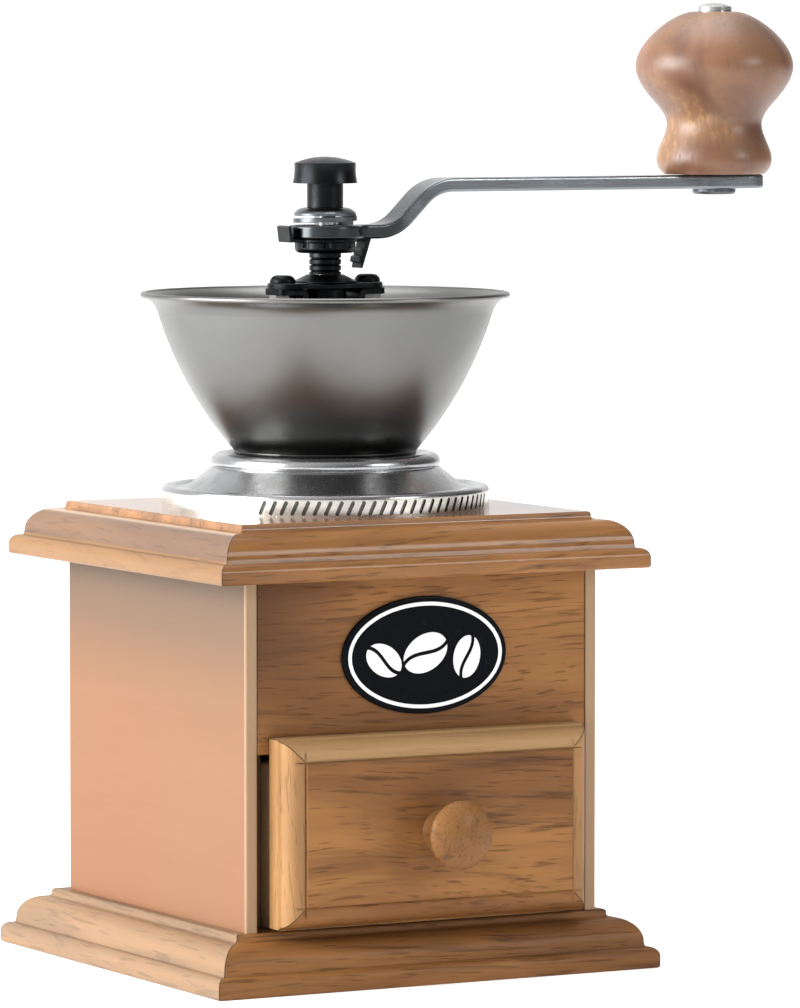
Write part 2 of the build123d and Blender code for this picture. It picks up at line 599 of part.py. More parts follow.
ring_tooth_gap = v_cutter((RING_BOTTOM_RADIUS, CARRIER_BOTTOM - 0.4), (RING_THROAT_RADIUS, BURR_WAIST), 0.9,
                          TOOTH_DEPTH, outwards=-1)
ring_flute = v_cutter((RING_THROAT_RADIUS, BURR_WAIST - 0.4), (RING_MOUTH_RADIUS, BURR_RING_TOP + 1), 1.9,
                      1.7, outwards=-1)
with BuildPart() as outer_burr:
    with BuildSketch(Plane.XZ):
        Polygon(
            (RING_BOTTOM_RADIUS, CARRIER_BOTTOM),
            (BURR_RING_RADIUS, CARRIER_BOTTOM),
            (BURR_RING_RADIUS, BURR_RING_TOP),
            (RING_MOUTH_RADIUS, BURR_RING_TOP),
            (RING_THROAT_RADIUS, BURR_WAIST),
            align=None,
        )
    revolve(axis=Axis.Z)
    with PolarLocations(0, BURR_TOOTH_COUNT):
        add(ring_tooth_gap, mode=Mode.SUBTRACT)
    with PolarLocations(0, BURR_FLUTE_COUNT):
        add(ring_flute, mode=Mode.SUBTRACT)

GUIDE_THICKNESS = 2.6
GUIDE_BOTTOM = CARRIER_BOTTOM - GUIDE_THICKNESS
GUIDE_HUB_RADIUS = 5.2
GUIDE_ARM_WIDTH = 5.0
JOURNAL_RADIUS = 2.5

with BuildPart() as lower_guide:
    with BuildSketch(Plane.XY.offset(GUIDE_BOTTOM)):
        Circle(GUIDE_HUB_RADIUS)
        with PolarLocations(GUIDE_SCREW_RADIUS / 2, 3, start_angle=90):
            Rectangle(GUIDE_SCREW_RADIUS, GUIDE_ARM_WIDTH)
        with PolarLocations(GUIDE_SCREW_RADIUS, 3, start_angle=90):
            Circle(GUIDE_ARM_WIDTH / 2)
    extrude(amount=GUIDE_THICKNESS)
    with Locations((0, 0, CARRIER_BOTTOM)):
        Hole(JOURNAL_RADIUS + RUNNING_GAP)
        with PolarLocations(GUIDE_SCREW_RADIUS, 3, start_angle=90):
            Hole(GUIDE_SCREW_SHANK + RUNNING_GAP)

guide_screw = pan_head_screw(2.3, 1.6, GUIDE_SCREW_SHANK, GUIDE_THICKNESS + 7.5)
with BuildPart() as guide_screws:
    with Locations(Plane(origin=(0, 0, GUIDE_BOTTOM), x_dir=(1, 0, 0), z_dir=(0, 0, -1))):
        with PolarLocations(GUIDE_SCREW_RADIUS, 3, start_angle=-90):
            add(guide_screw)

# ---- yoke over the bowl ------------------------------------------------------------------------

YOKE_FOOT_END = 19.0
YOKE_FOOT_BEND = 12.8  # where the foot turns up into the web
YOKE_WEB_TOP = 7.2
YOKE_EAR_END = 14.0
YOKE_BEND_RADIUS = 1.2

yoke_legs = {}
for side, name in ((-1, "left_yoke_leg"), (1, "right_yoke_leg")):
    with BuildPart() as yoke_leg:
        foot_z = BOWL_FLOOR_TOP + YOKE_STRAP / 2
        head_z = BRIDGE_BOTTOM - YOKE_STRAP / 2
        with BuildLine(Plane.XZ):
            FilletPolyline(
                (side * YOKE_FOOT_END, foot_z),
                (side * YOKE_FOOT_BEND, foot_z),
                (side * YOKE_WEB_TOP, head_z),
                (side * YOKE_EAR_END, head_z),
                radius=YOKE_BEND_RADIUS,
            )
        with BuildSketch(Plane(origin=(side * YOKE_FOOT_END, 0, foot_z), x_dir=(0, 1, 0), z_dir=(-side, 0, 0))):
            Rectangle(YOKE_WIDTH, YOKE_STRAP)
        sweep()
        foot_hole = (side * YOKE_FOOT_X, 0, foot_z + YOKE_STRAP)
        with Locations(foot_hole, (side * YOKE_SCREW_X, 0, head_z + YOKE_STRAP)):
            Hole(YOKE_SCREW_RADIUS + RUNNING_GAP, depth=2 * YOKE_STRAP)
        fillet(yoke_leg.edges().filter_by(Axis.Z).filter_by(lambda edge: edge.length < 2 * YOKE_STRAP), 1.5)
    yoke_legs[name] = yoke_leg

foot_screw = pan_head_screw(2.4, 1.8, YOKE_SCREW_RADIUS, YOKE_STRAP + BOWL_SHEET + COLLAR_SHEET + 4.2)
with BuildPart() as yoke_foot_screws:
    with PolarLocations(YOKE_FOOT_X, 2):
        with Locations((0, 0, BOWL_FLOOR_TOP + YOKE_STRAP)):
            add(foot_screw)

BUSH_RADIUS = 5.0
BUSH_FLANGE_RADIUS = 7.5
BUSH_TOP = BRIDGE_TOP + 1.8
BUSH_BOTTOM = 153.2

with BuildPart() as bridge_plate:
    with BuildSketch(Plane.XY.offset(BRIDGE_BOTTOM)):
        SlotOverall(29.0, 12.0)
    extrude(amount=BRIDGE_THICKNESS)
    with Locations((0, 0, BRIDGE_TOP)):
        Hole(BUSH_RADIUS + 0.02)
        with PolarLocations(YOKE_SCREW_X, 2):
            Hole(YOKE_SCREW_RADIUS + RUNNING_GAP)
    fillet(bridge_plate.faces().sort_by(Axis.Z)[-1].outer_wire().edges(), 0.4)

NUT_HEIGHT = 2.0
bridge_screw = pan_head_screw(3.0, 1.8, YOKE_SCREW_RADIUS, BRIDGE_THICKNESS + YOKE_STRAP + NUT_HEIGHT + 0.6)
with BuildPart() as bridge_screws:
    with PolarLocations(YOKE_SCREW_X, 2):
        with Locations((0, 0, BRIDGE_TOP)):
            add(bridge_screw)

with BuildPart() as bridge_nuts:
    with BuildSketch(Plane.XY.offset(BRIDGE_BOTTOM - YOKE_STRAP - NUT_HEIGHT)):
        with PolarLocations(YOKE_SCREW_X, 2):
            RegularPolygon(2.75, 6, major_radius=False, rotation=30)
            Circle(YOKE_SCREW_RADIUS + RUNNING_GAP, mode=Mode.SUBTRACT)
    extrude(amount=NUT_HEIGHT)

with BuildPart() as upper_bush:
    with BuildSketch(Plane.XZ):
        with BuildLine():
            bore = SPINDLE_NECK_RADIUS + RUNNING_GAP
            Polyline(
                (4.4, BUSH_TOP),
                (bore, BUSH_TOP),
                (bore, BUSH_BOTTOM),
                (BUSH_RADIUS, BUSH_BOTTOM),
                (BUSH_RADIUS, BRIDGE_TOP),
                (BUSH_FLANGE_RADIUS, BRIDGE_TOP),
                (BUSH_FLANGE_RADIUS, BRIDGE_TOP + 0.3),
            )
            ThreePointArc((BUSH_FLANGE_RADIUS, BRIDGE_TOP + 0.3), (6.2, BRIDGE_TOP + 0.9), (4.4, BUSH_TOP))
        make_face()
    revolve(axis=Axis.Z)

# ---- spindle and what turns with it ------------------------------------------------------------

COLLAR_STEP = 0.6
SPINDLE_BOTTOM = 90.5
SQUARE_BOTTOM = 166.8
THREAD_BOTTOM = 177.0
THREAD_RADIUS = 2.0
SPINDLE_TOP = 184.0

with BuildPart() as spindle:
    with BuildSketch(Plane.XZ):
        Polygon(
            (0, SPINDLE_BOTTOM),
            (JOURNAL_RADIUS, SPINDLE_BOTTOM),
            (JOURNAL_RADIUS, BURR_BOTTOM - COLLAR_STEP),
            (5.0, BURR_BOTTOM - COLLAR_STEP),
            (5.0, BURR_BOTTOM),
            (SPINDLE_RADIUS, BURR_BOTTOM),
            (SPINDLE_RADIUS, SPINDLE_SHOULDER),
            (SPINDLE_NECK_RADIUS, SPINDLE_SHOULDER),
            (SPINDLE_NECK_RADIUS, THREAD_BOTTOM),
            (THREAD_RADIUS, THREAD_BOTTOM),
            (THREAD_RADIUS, SPINDLE_TOP - 0.4),
            (THREAD_RADIUS - 0.4, SPINDLE_TOP),
            (0, SPINDLE_TOP),
            align=None,
        )
    revolve(axis=Axis.Z)
    with BuildSketch(Plane.XY.offset(SQUARE_BOTTOM)):
        Circle(2 * SPINDLE_RADIUS)
        Rectangle(SPINDLE_FLATS, SPINDLE_FLATS, mode=Mode.SUBTRACT)
    extrude(amount=THREAD_BOTTOM - SQUARE_BOTTOM, mode=Mode.SUBTRACT)
    with Locations(pin_axis):
        Cylinder(PIN_RADIUS + 0.02, 3 * SPINDLE_RADIUS, mode=Mode.SUBTRACT)

with BuildPart() as drive_pin:
    with Locations(pin_axis):
        Cylinder(PIN_RADIUS, PIN_LENGTH)
    chamfer(drive_pin.edges().filter_by(GeomType.CIRCLE), 0.3)

BURR_NUT_HEIGHT = 3.6
SEAT_Z = BURR_TOP + BURR_NUT_HEIGHT
SEAT_THICKNESS = 0.8

with BuildPart() as burr_nut:
    with BuildSketch(Plane.XY.offset(BURR_TOP)):
        RegularPolygon(5.0, 6, major_radius=False)
        Circle(SPINDLE_RADIUS + 0.02, mode=Mode.SUBTRACT)
    extrude(amount=BURR_NUT_HEIGHT)

with BuildPart() as spring_seat:
    with BuildSketch(Plane.XY.offset(SEAT_Z)):
        Circle(6.0)
        Circle(SPINDLE_RADIUS + 0.02, mode=Mode.SUBTRACT)
    extrude(amount=SEAT_THICKNESS)

spring_foot = SEAT_Z + SEAT_THICKNESS + SPRING_WIRE / 2 + 0.05
spring_head = BUSH_BOTTOM - SPRING_WIRE / 2 - 0.05

with BuildPart() as return_spring:
    with BuildLine():
        coil = Helix(
            pitch=(spring_head - spring_foot) / SPRING_TURNS,
            height=spring_head - spring_foot,
            radius=SPRING_RADIUS,
            center=(0, 0, spring_foot),
        )
    with BuildSketch(Plane(origin=coil @ 0, z_dir=coil % 0)):
        Circle(SPRING_WIRE / 2)
    sweep(is_frenet=True)

GROOVE_PITCH = 1.45

with BuildPart() as adjusting_nut:
    with BuildSketch(Plane.XZ):
        with BuildLine():
            bore = SPINDLE_NECK_RADIUS + RUNNING_GAP
            head_bottom = NUT_TOP - 2.6
            Polyline(
                (bore, NUT_BOTTOM),
                (NUT_STEM_RADIUS, NUT_BOTTOM),
                (NUT_STEM_RADIUS, head_bottom),
                (NUT_RADIUS - 1.1, head_bottom),
            )
            TangentArc((NUT_RADIUS - 1.1, head_bottom), (NUT_RADIUS, head_bottom + 1.1), tangent=(1, 0))
            Polyline(
                (NUT_RADIUS, head_bottom + 1.1),
                (NUT_RADIUS, NUT_TOP - 0.2),
                (NUT_RADIUS - 0.2, NUT_TOP),
                (bore, NUT_TOP),
                (bore, NUT_BOTTOM),
            )
        make_face()
        with Locations(*[(NUT_STEM_RADIUS + 0.15, NUT_BOTTOM + 0.75 + turn * GROOVE_PITCH) for turn in range(3)]):
            RegularPolygon(0.62, 3, rotation=180, mode=Mode.SUBTRACT)
    revolve(axis=Axis.Z)
    with BuildSketch(Plane.XY.offset(NUT_TOP)):
        with PolarLocations(NUT_RADIUS + 0.35, 8, start_angle=22.5):
            Circle(1.1)
    extrude(amount=-1.4, mode=Mode.SUBTRACT)

TAB_REACH = 10.7
STOPPER_RADIUS = 7.6
SQUARE_HOLE = SPINDLE_FLATS + 2 * RUNNING_GAP

with BuildPart() as stopper_plate:
    with BuildSketch(Plane.XY.offset(NUT_TOP)):
        Circle(STOPPER_RADIUS)
        with Locations((-TAB_REACH / 2, 0)):
            Rectangle(TAB_REACH, 6.0)
        with Locations((TAB_REACH / 2, 0)):
            Rectangle(TAB_REACH, 4.6)
        Rectangle(SQUARE_HOLE, SQUARE_HOLE, mode=Mode.SUBTRACT)
    extrude(amount=STOPPER_SHEET)
    # the raised finger tab behind the arm's eye
    with BuildSketch(Plane.XZ):
        Polygon(
            (-TAB_REACH, NUT_TOP),
            (-TAB_REACH - 0.5, NUT_TOP + 3.6),
            (-TAB_REACH + 0.1, NUT_TOP + 3.9),
            (-TAB_REACH + 0.7, NUT_TOP + STOPPER_SHEET),
            (-TAB_REACH + 0.7, NUT_TOP),
            align=None,
        )
    extrude(amount=3.0, both=True)
    # the locking finger that hangs beside the adjusting nut, with its small teeth
    with BuildSketch(Plane.XZ):
        Polygon(
            (TAB_REACH - 1.0, NUT_TOP + STOPPER_SHEET),
            (TAB_REACH + 0.3, NUT_TOP + STOPPER_SHEET),
            (TAB_REACH - 2.0, NUT_TOP - 6.3),
            (TAB_REACH - 2.5, NUT_TOP - 6.2),
            (TAB_REACH - 2.2, NUT_TOP - 5.1),
            (TAB_REACH - 2.9, NUT_TOP - 4.8),
            (TAB_REACH - 2.7, NUT_TOP - 3.6),
            (TAB_REACH - 1.9, NUT_TOP - 3.2),
            (TAB_REACH - 2.1, NUT_TOP - 2.2),
            (TAB_REACH - 1.4, NUT_TOP - 1.6),
            align=None,
        )
    extrude(amount=2.3, both=True)

EYE_RADIUS = 8.6
PAD_WIDTH = 11.0
RIVET_SHANK = 2.4

ARM_EDGE = 0.6
PAD_LENGTH = 21.0

with BuildPart() as crank_arm:
    with BuildSketch(Plane.XZ):
        with BuildLine():
            mid_low = ARM_BOTTOM + ARM_THICKNESS / 2
            mid_high = mid_low + ARM_RISE
            FilletPolyline((-EYE_RADIUS - 1, mid_low), (17.0, mid_low), (17.0 + ARM_RISE, mid_high),
                           (ARM_END + 1, mid_high), radius=11.0)
        trace(line_width=ARM_THICKNESS)
    extrude(amount=2 * EYE_RADIUS, both=True)
    with BuildSketch(Plane.XY.offset(ARM_BOTTOM)) as plan:
        Circle(EYE_RADIUS)
        with Locations(((ARM_END - 5) / 2, 0)):
            Rectangle(ARM_END - 5, ARM_WIDTH)
        with Locations((ARM_END - PAD_LENGTH / 2, 0)):
            SlotOverall(PAD_LENGTH, PAD_WIDTH)
        fillet(plan.vertices().filter_by(lambda corner: abs(abs(corner.Y) - ARM_WIDTH / 2) < 0.01), 4.0)
    extrude(amount=ARM_THICKNESS + ARM_RISE, mode=Mode.INTERSECT)
    spans = [(edge, edge.bounding_box().size) for edge in crank_arm.edges()]
    rims = [edge for edge, span in spans if min(span.Y, span.Z) < 0.01 and span.X > 0.5]
    fillet(rims, ARM_EDGE)
    with BuildSketch(Plane.XY.offset(ARM_BOTTOM)):
        Rectangle(SQUARE_HOLE, SQUARE_HOLE)
    extrude(amount=ARM_THICKNESS, mode=Mode.SUBTRACT)
    with Locations((KNOB_X, 0, REACH_TOP)):
        Hole(RIVET_SHANK + 0.02, depth=2 * ARM_THICKNESS)

WASHER_TOP = 174.2
DOME_TOP = 176.0

with BuildPart() as spring_washer:
    with BuildLine():
        turn = Helix(pitch=1.15, height=1.1, radius=5.85, center=(0, 0, ARM_TOP + 0.55))
    with BuildSketch(Plane(origin=turn @ 0, x_dir=(1, 0, 0), z_dir=turn % 0)):
        Rectangle(3.3, 1.05)
    sweep(is_frenet=True)

with BuildPart() as domed_washer:
    with BuildSketch(Plane.XZ):
        with BuildLine():
            Line((2.6, DOME_TOP), (4.6, DOME_TOP))
            TangentArc((4.6, DOME_TOP), (7.3, WASHER_TOP + 0.45), tangent=(1, 0))
            Polyline((7.3, WASHER_TOP + 0.45), (7.3, WASHER_TOP - 0.1), (5.9, WASHER_TOP - 0.1))
            Polyline((5.9, WASHER_TOP - 0.1), (2.6, DOME_TOP - 0.9), (2.6, DOME_TOP))
        make_face()
    revolve(axis=Axis.Z)

with BuildPart() as cap_nut:
    with BuildSketch(Plane.XZ):
        with BuildLine():
            neck = 4.25
            head_bottom = 181.7
            head_top = 186.4
            crown = 187.9
            bore = THREAD_RADIUS + RUNNING_GAP
            bore_end = SPINDLE_TOP + 1.6
            Polyline(
                (0, bore_end),
                (bore, bore_end),
                (bore, THREAD_BOTTOM + 0.9),
                (SPINDLE_NECK_RADIUS + RUNNING_GAP, THREAD_BOTTOM + 0.9),
                (SPINDLE_NECK_RADIUS + RUNNING_GAP, DOME_TOP),
                (neck, DOME_TOP),
                (neck, head_bottom),
                (CAP_NUT_RADIUS, head_bottom),
            )
            RadiusArc((CAP_NUT_RADIUS, head_bottom), (CAP_NUT_RADIUS - 0.35, head_top), 14)
            Polyline((CAP_NUT_RADIUS - 0.35, head_top), (CAP_NUT_RADIUS - 0.7, head_top + 0.15))
            TangentArc((0, crown), (CAP_NUT_RADIUS - 0.7, head_top + 0.15), tangent=(1, 0))
            Line((0, crown), (0, bore_end))
        make_face()
    revolve(axis=Axis.Z)

# ---- crank knob --------------------------------------------------------------------------------

KNOB_BOTTOM = REACH_TOP + 0.2
KNOB_TOP = 221.9
KNOB_WASHER = 0.9
BOLT_HEAD_RADIUS = 4.1
BOLT_HEAD_SEAT = 221.0
BOLT_TOP = 224.1
END_NUT_HEIGHT = 1.4
handle_axis = Axis((KNOB_X, 0, 0), (0, 0, 1))

with BuildPart() as crank_knob:
    with BuildSketch(Plane.XZ):
        with BuildLine():
            bottom_edge = (KNOB_X + 12.2, KNOB_BOTTOM)
            top_edge = (KNOB_X + 5.6, KNOB_TOP)
            Line((KNOB_X, KNOB_BOTTOM), bottom_edge)
            Spline(
                bottom_edge,
                (KNOB_X + 13.9, 186.1),
                (KNOB_X + 11.45, 195.0),
                (KNOB_X + 15.6, 201.6),
                (KNOB_X + 19.0, 208.8),
                (KNOB_X + 15.5, 215.9),
                top_edge,
            )
            Line(top_edge, (KNOB_X, KNOB_TOP))
            Line((KNOB_X, KNOB_TOP), (KNOB_X, KNOB_BOTTOM))
        make_face()
    revolve(axis=handle_axis)
    with Locations((KNOB_X, 0, KNOB_TOP)):
        CounterBoreHole(RIVET_SHANK + RUNNING_GAP, BOLT_HEAD_RADIUS + 0.3, KNOB_TOP - BOLT_HEAD_SEAT + 0.1,
                        depth=KNOB_TOP)
    with Locations((KNOB_X, 0, KNOB_BOTTOM)):
        Cylinder(6.3, 2 * (KNOB_WASHER + 0.1), mode=Mode.SUBTRACT)

with BuildPart() as knob_bolt:
    with BuildSketch(Plane.XZ):
        with BuildLine():
            shoulder = (KNOB_X + BOLT_HEAD_RADIUS, BOLT_HEAD_SEAT)
            Polyline(
                (KNOB_X, REACH_BOTTOM - END_NUT_HEIGHT),
                (KNOB_X + RIVET_SHANK, REACH_BOTTOM - END_NUT_HEIGHT),
                (KNOB_X + RIVET_SHANK, BOLT_HEAD_SEAT),
                shoulder,
                (KNOB_X + BOLT_HEAD_RADIUS, BOLT_TOP - 1.0),
            )
            TangentArc((KNOB_X, BOLT_TOP), (KNOB_X + BOLT_HEAD_RADIUS, BOLT_TOP - 1.0), tangent=(1, 0))
            Line((KNOB_X, BOLT_TOP), (KNOB_X, REACH_BOTTOM - END_NUT_HEIGHT))
        make_face()
    revolve(axis=handle_axis)

with BuildPart() as knob_washer:
    with BuildSketch(Plane.XY.offset(REACH_TOP)):
        with Locations((KNOB_X, 0)):
            Circle(5.8)
            Circle(RIVET_SHANK + 0.02, mode=Mode.SUBTRACT)
    extrude(amount=KNOB_WASHER)

with BuildPart() as bolt_end_nut:
    with BuildSketch(Plane.XY.offset(REACH_BOTTOM - END_NUT_HEIGHT)):
        with Locations((KNOB_X, 0)):
            Circle(5.2)
            Circle(RIVET_SHANK + 0.02, mode=Mode.SUBTRACT)
    extrude(amount=END_NUT_HEIGHT)
    fillet(bolt_end_nut.faces().sort_by(Axis.Z)[0].outer_wire().edges(), 0.7)

# ---- one STEP file for each piece --------------------------------------------------------------

pieces = {
    "base_board": base_board,
    "base_screws": base_screws,
    **side_panels,
    "front_panel": front_panel,
    "back_panel": back_panel,
    "top_dowels": top_dowels,
    "top_board": top_board,
    "badge_plate": badge_plate,
    "badge_inlay": badge_inlay,
    "drawer_front": drawer_front,
    "drawer_box_front": drawer_box_front,
    **drawer_sides,
    "drawer_back": drawer_back,
    "drawer_bottom": drawer_bottom,
    "drawer_knob": drawer_knob,
    "drawer_knob_screw": drawer_knob_screw,
    "burr_carrier": burr_carrier,
    "carrier_screws": carrier_screws,
    "base_flange": base_flange,
    "hopper_bowl": hopper_bowl,
    "outer_burr": outer_burr,
    "lower_guide": lower_guide,
    "guide_screws": guide_screws,
    **yoke_legs,
    "yoke_foot_screws": yoke_foot_screws,
    "bridge_plate": bridge_plate,
    "bridge_screws": bridge_screws,
    "bridge_nuts": bridge_nuts,
    "upper_bush": upper_bush,
    "return_spring": return_spring,
    "spindle": spindle,
    "inner_burr": inner_burr,
    "drive_pin": drive_pin,
    "burr_nut": burr_nut,
    "spring_seat": spring_seat,
    "adjusting_nut": adjusting_nut,
    "stopper_plate": stopper_plate,
    "crank_arm": crank_arm,
    "spring_washer": spring_washer,
    "domed_washer": domed_washer,
    "cap_nut": cap_nut,
    "crank_knob": crank_knob,
    "knob_bolt": knob_bolt,
    "knob_washer": knob_washer,
    "bolt_end_nut": bolt_end_nut,
}
for name, piece in pieces.items():
    piece.part.label = name
    export_step(piece.part, f"parts/{name}.step")
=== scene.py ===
"""Finishes and studio for a wooden box mill, a hand-cranked burr coffee grinder.

Metres, +Z up, in the packed model's own frame: the drawer faces -Y and the crank points along +X.
"""

import math

import bmesh
import bpy
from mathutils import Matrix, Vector


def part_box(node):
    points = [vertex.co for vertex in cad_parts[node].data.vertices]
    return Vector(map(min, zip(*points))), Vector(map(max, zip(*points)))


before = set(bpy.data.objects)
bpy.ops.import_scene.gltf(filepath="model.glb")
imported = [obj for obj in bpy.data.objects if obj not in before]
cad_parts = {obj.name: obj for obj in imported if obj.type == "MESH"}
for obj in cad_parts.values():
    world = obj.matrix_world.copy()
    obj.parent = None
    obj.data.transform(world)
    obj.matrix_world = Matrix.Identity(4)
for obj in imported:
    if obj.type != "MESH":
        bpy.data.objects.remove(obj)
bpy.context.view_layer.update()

bl_info = {
    "name": "Box Mill Finishes",
    "version": (1, 0, 0),
    "blender": (4, 5, 0),
    "location": "3D View > Sidebar > Box Mill",
    "description": "Finishes the wood, steel and enamel of a hand-cranked box mill and sets up its studio",
    "category": "Material",
}

# ---- shader arithmetic -------------------------------------------------------------------------------------


class Field:
    """A number, vector or colour inside a material, which takes part in ordinary Python arithmetic."""

    def __init__(self, tree, socket):
        self.tree = tree
        self.socket = socket

    @classmethod
    def node(cls, tree, kind, settings=None, sockets=None, output=0):
        """A new node of any kind: its settings are made first, then its sockets are filled or linked."""
        made = tree.nodes.new(kind)
        for name, value in (settings or {}).items():
            setattr(made, name, value)
        for name, value in (sockets or {}).items():
            join(tree, value, made.inputs[name])
        return cls(tree, made.outputs[output])

    def combine(self, operation, blend, other, swapped=False):
        """This and another value through Math, Vector Math or Mix, whichever suits this socket."""
        first, second = (other, self) if swapped else (self, other)
        if self.socket.type == "RGBA":
            first, second = as_colour(first), as_colour(second)
            settings = {"data_type": "RGBA", "blend_type": blend}
            return Field.node(self.tree, "ShaderNodeMix", settings, {0: 1.0, 6: first, 7: second}, 2)
        kind = "ShaderNodeMath"
        if self.socket.type == "VECTOR":
            kind = "ShaderNodeVectorMath"
            first, second = as_vector(first), as_vector(second)
        return Field.node(self.tree, kind, {"operation": operation}, {0: first, 1: second})

    def __add__(self, other):
        return self.combine("ADD", "ADD", other)

    def __radd__(self, other):
        return self.combine("ADD", "ADD", other, swapped=True)

    def __sub__(self, other):
        return self.combine("SUBTRACT", "SUBTRACT", other)

    def __rsub__(self, other):
        return self.combine("SUBTRACT", "SUBTRACT", other, swapped=True)

    def __mul__(self, other):
        return self.combine("MULTIPLY", "MULTIPLY", other)

    def __rmul__(self, other):
        return self.combine("MULTIPLY", "MULTIPLY", other, swapped=True)

    def __abs__(self):
        return Field.node(self.tree, "ShaderNodeMath", {"operation": "ABSOLUTE"}, {0: self})

    def combine_with_vector(self, vector):
        """A vector of fixed direction whose length follows this number."""
        settings = {"operation": "SCALE"}
        return Field.node(self.tree, "ShaderNodeVectorMath", settings, {0: vector, "Scale": self})

    def band(self, low, high):
        """0 below low and 1 above high, with a smooth step between them."""
        settings = {"interpolation_type": "SMOOTHSTEP"}
        sockets = {"Value": self, "From Min": low, "From Max": high}
        return Field.node(self.tree, "ShaderNodeMapRange", settings, sockets)

    def between(self, low, high):
        """A mixture of two colours, low where this value is 0 and high where it is 1."""
        sockets = {0: self, 6: as_colour(low), 7: as_colour(high)}
        return Field.node(self.tree, "ShaderNodeMix", {"data_type": "RGBA"}, sockets, 2)

    def noise(self, scale, detail=2.0, roughness=0.5, distortion=0.0):
        """Smooth noise over this position."""
        sockets = {
            "Vector": self,
            "Scale": scale,
            "Detail": detail,
            "Roughness": roughness,
            "Distortion": distortion,
        }
        return Field.node(self.tree, "ShaderNodeTexNoise", {}, sockets)

    def axes(self):
        """The three numbers of this position."""
        split = Field.node(self.tree, "ShaderNodeSeparateXYZ", {}, {0: self}).socket.node
        return [Field(self.tree, output) for output in split.outputs]


def join(tree, value, socket):
    """Links a field to a socket, or sets the socket to a plain value."""
    if isinstance(value, Field):
        tree.links.new(value.socket, socket)
    else:
        socket.default_value = value


def as_colour(value):
    """A field as it is, or numbers as a colour with alpha."""
    if isinstance(value, Field):
        return value
    if isinstance(value, (int, float)):
        return (value, value, value, 1.0)
    return (*tuple(value)[:3], 1.0)


def as_vector(value):
    """A field as it is, or three numbers as a vector."""
    return value if isinstance(value, Field) else tuple(value)


class Finish:
    """A material's principled shader, with its node tree and the position its patterns are drawn over."""

    def __init__(self, name, **constants):
        self.material = bpy.data.materials.new(name)
        self.material.use_nodes = True
        self.tree = self.material.node_tree
        self.shader = self.tree.nodes["Principled BSDF"]
        self.place = Field.node(self.tree, "ShaderNodeTexCoord", output="Object")
        for socket, value in constants.items():
            self.shader.inputs[socket.replace("_", " ")].default_value = value

    def drive(self, socket, value):
        """Feeds a socket of the shader."""
        join(self.tree, value, self.shader.inputs[socket])

    def relief(self, height, depth, edge=0.0):
        """Raises the surface by height times depth, over edges rounded by that radius."""
        sockets = {"Height": height, "Distance": depth}
        if edge:
            sockets["Normal"] = Field.node(self.tree, "ShaderNodeBevel", {"samples": 4}, {"Radius": edge})
        self.drive("Normal", Field.node(self.tree, "ShaderNodeBump", {}, sockets))


# ---- settings ----------------------------------------------------------------------------------------------


def colour_setting(name, description, default):
    """A colour that the user may change."""
    return bpy.props.FloatVectorProperty(
        name=name, description=description, default=default, size=3, min=0.0, max=1.0, subtype="COLOR"
    )


def share_setting(name, description, default):
    """A number from 0 to 1 that the user may change."""
    return bpy.props.FloatProperty(
        name=name, description=description, default=default, min=0.0, max=1.0, subtype="FACTOR"
    )


def length_setting(name, description, default):
    """A length that the user may change."""
    return bpy.props.FloatProperty(
        name=name, description=description, default=default, min=0.0, unit="LENGTH", precision=4
    )


class WoodSettings(bpy.types.PropertyGroup):
    """Colours and gloss of the boards, the pull and the crank's knob."""

    board_light: colour_setting("Board, light", "Early wood of the case boards", (0.320, 0.142, 0.041))
    board_dark: colour_setting("Board, dark", "Late wood of the case boards", (0.145, 0.056, 0.015))
    pore: colour_setting("Pores", "Open pores and dark streaks of the boards", (0.030, 0.010, 0.003))
    side_light: colour_setting("Side, light", "Tan part of the plain side boards", (0.205, 0.098, 0.044))
    side_warm: colour_setting("Side, warm", "Peach part of the plain side boards", (0.222, 0.090, 0.040))
    plain_light: colour_setting("Drawer box", "Unfinished wood of the drawer's box", (0.50, 0.35, 0.20))
    knob_light: colour_setting("Knob, light", "Bright figure of the crank's knob", (0.205, 0.096, 0.048))
    knob_dark: colour_setting("Knob, dark", "Dark figure of the crank's knob", (0.092, 0.037, 0.020))
    knob_gold: colour_setting("Knob, golden", "Golden flecks of the crank's knob", (0.40, 0.225, 0.105))
    board_gloss: share_setting("Board gloss", "Weight of the thin oil film on the boards", 0.08)
    top_gloss: share_setting("Top gloss", "Weight of the polish on the top board", 0.90)
    knob_gloss: share_setting("Knob gloss", "Weight of the lacquer on the knob", 0.30)
    eased_edge: length_setting("Eased edge", "How far the boards' edges are rubbed round", 0.0005)


class MetalSettings(bpy.types.PropertyGroup):
    """Colours and polish of the steel, chrome and iron parts."""

    bowl: colour_setting("Bowl", "Satin spun steel of the hopper bowl", (0.168, 0.168, 0.162))
    chrome: colour_setting("Chrome", "Bright plate of the collar", (0.43, 0.433, 0.44))
    arm: colour_setting("Crank arm", "Polished steel of the arm", (0.215, 0.230, 0.242))
    black: colour_setting("Blackened steel", "Nuts, washers and yoke", (0.012, 0.013, 0.014))
    iron: colour_setting("Cast iron", "Burrs and their carrier", (0.13, 0.128, 0.125))
    zinc: colour_setting("Zinc", "Screws and the spindle", (0.62, 0.62, 0.60))
    bowl_roughness: share_setting("Bowl roughness", "How satin the bowl is", 0.33)
    chrome_roughness: share_setting("Chrome roughness", "How satin the collar is", 0.20)
    arm_roughness: share_setting("Arm roughness", "How satin the crank arm is", 0.22)


class EnamelSettings(bpy.types.PropertyGroup):
    """Colours of the badge."""

    ground: colour_setting("Ground", "Black enamel of the badge", (0.0035, 0.004, 0.0055))
    lines: colour_setting("Lines", "White enamel of the ring and the beans", (0.86, 0.86, 0.85))


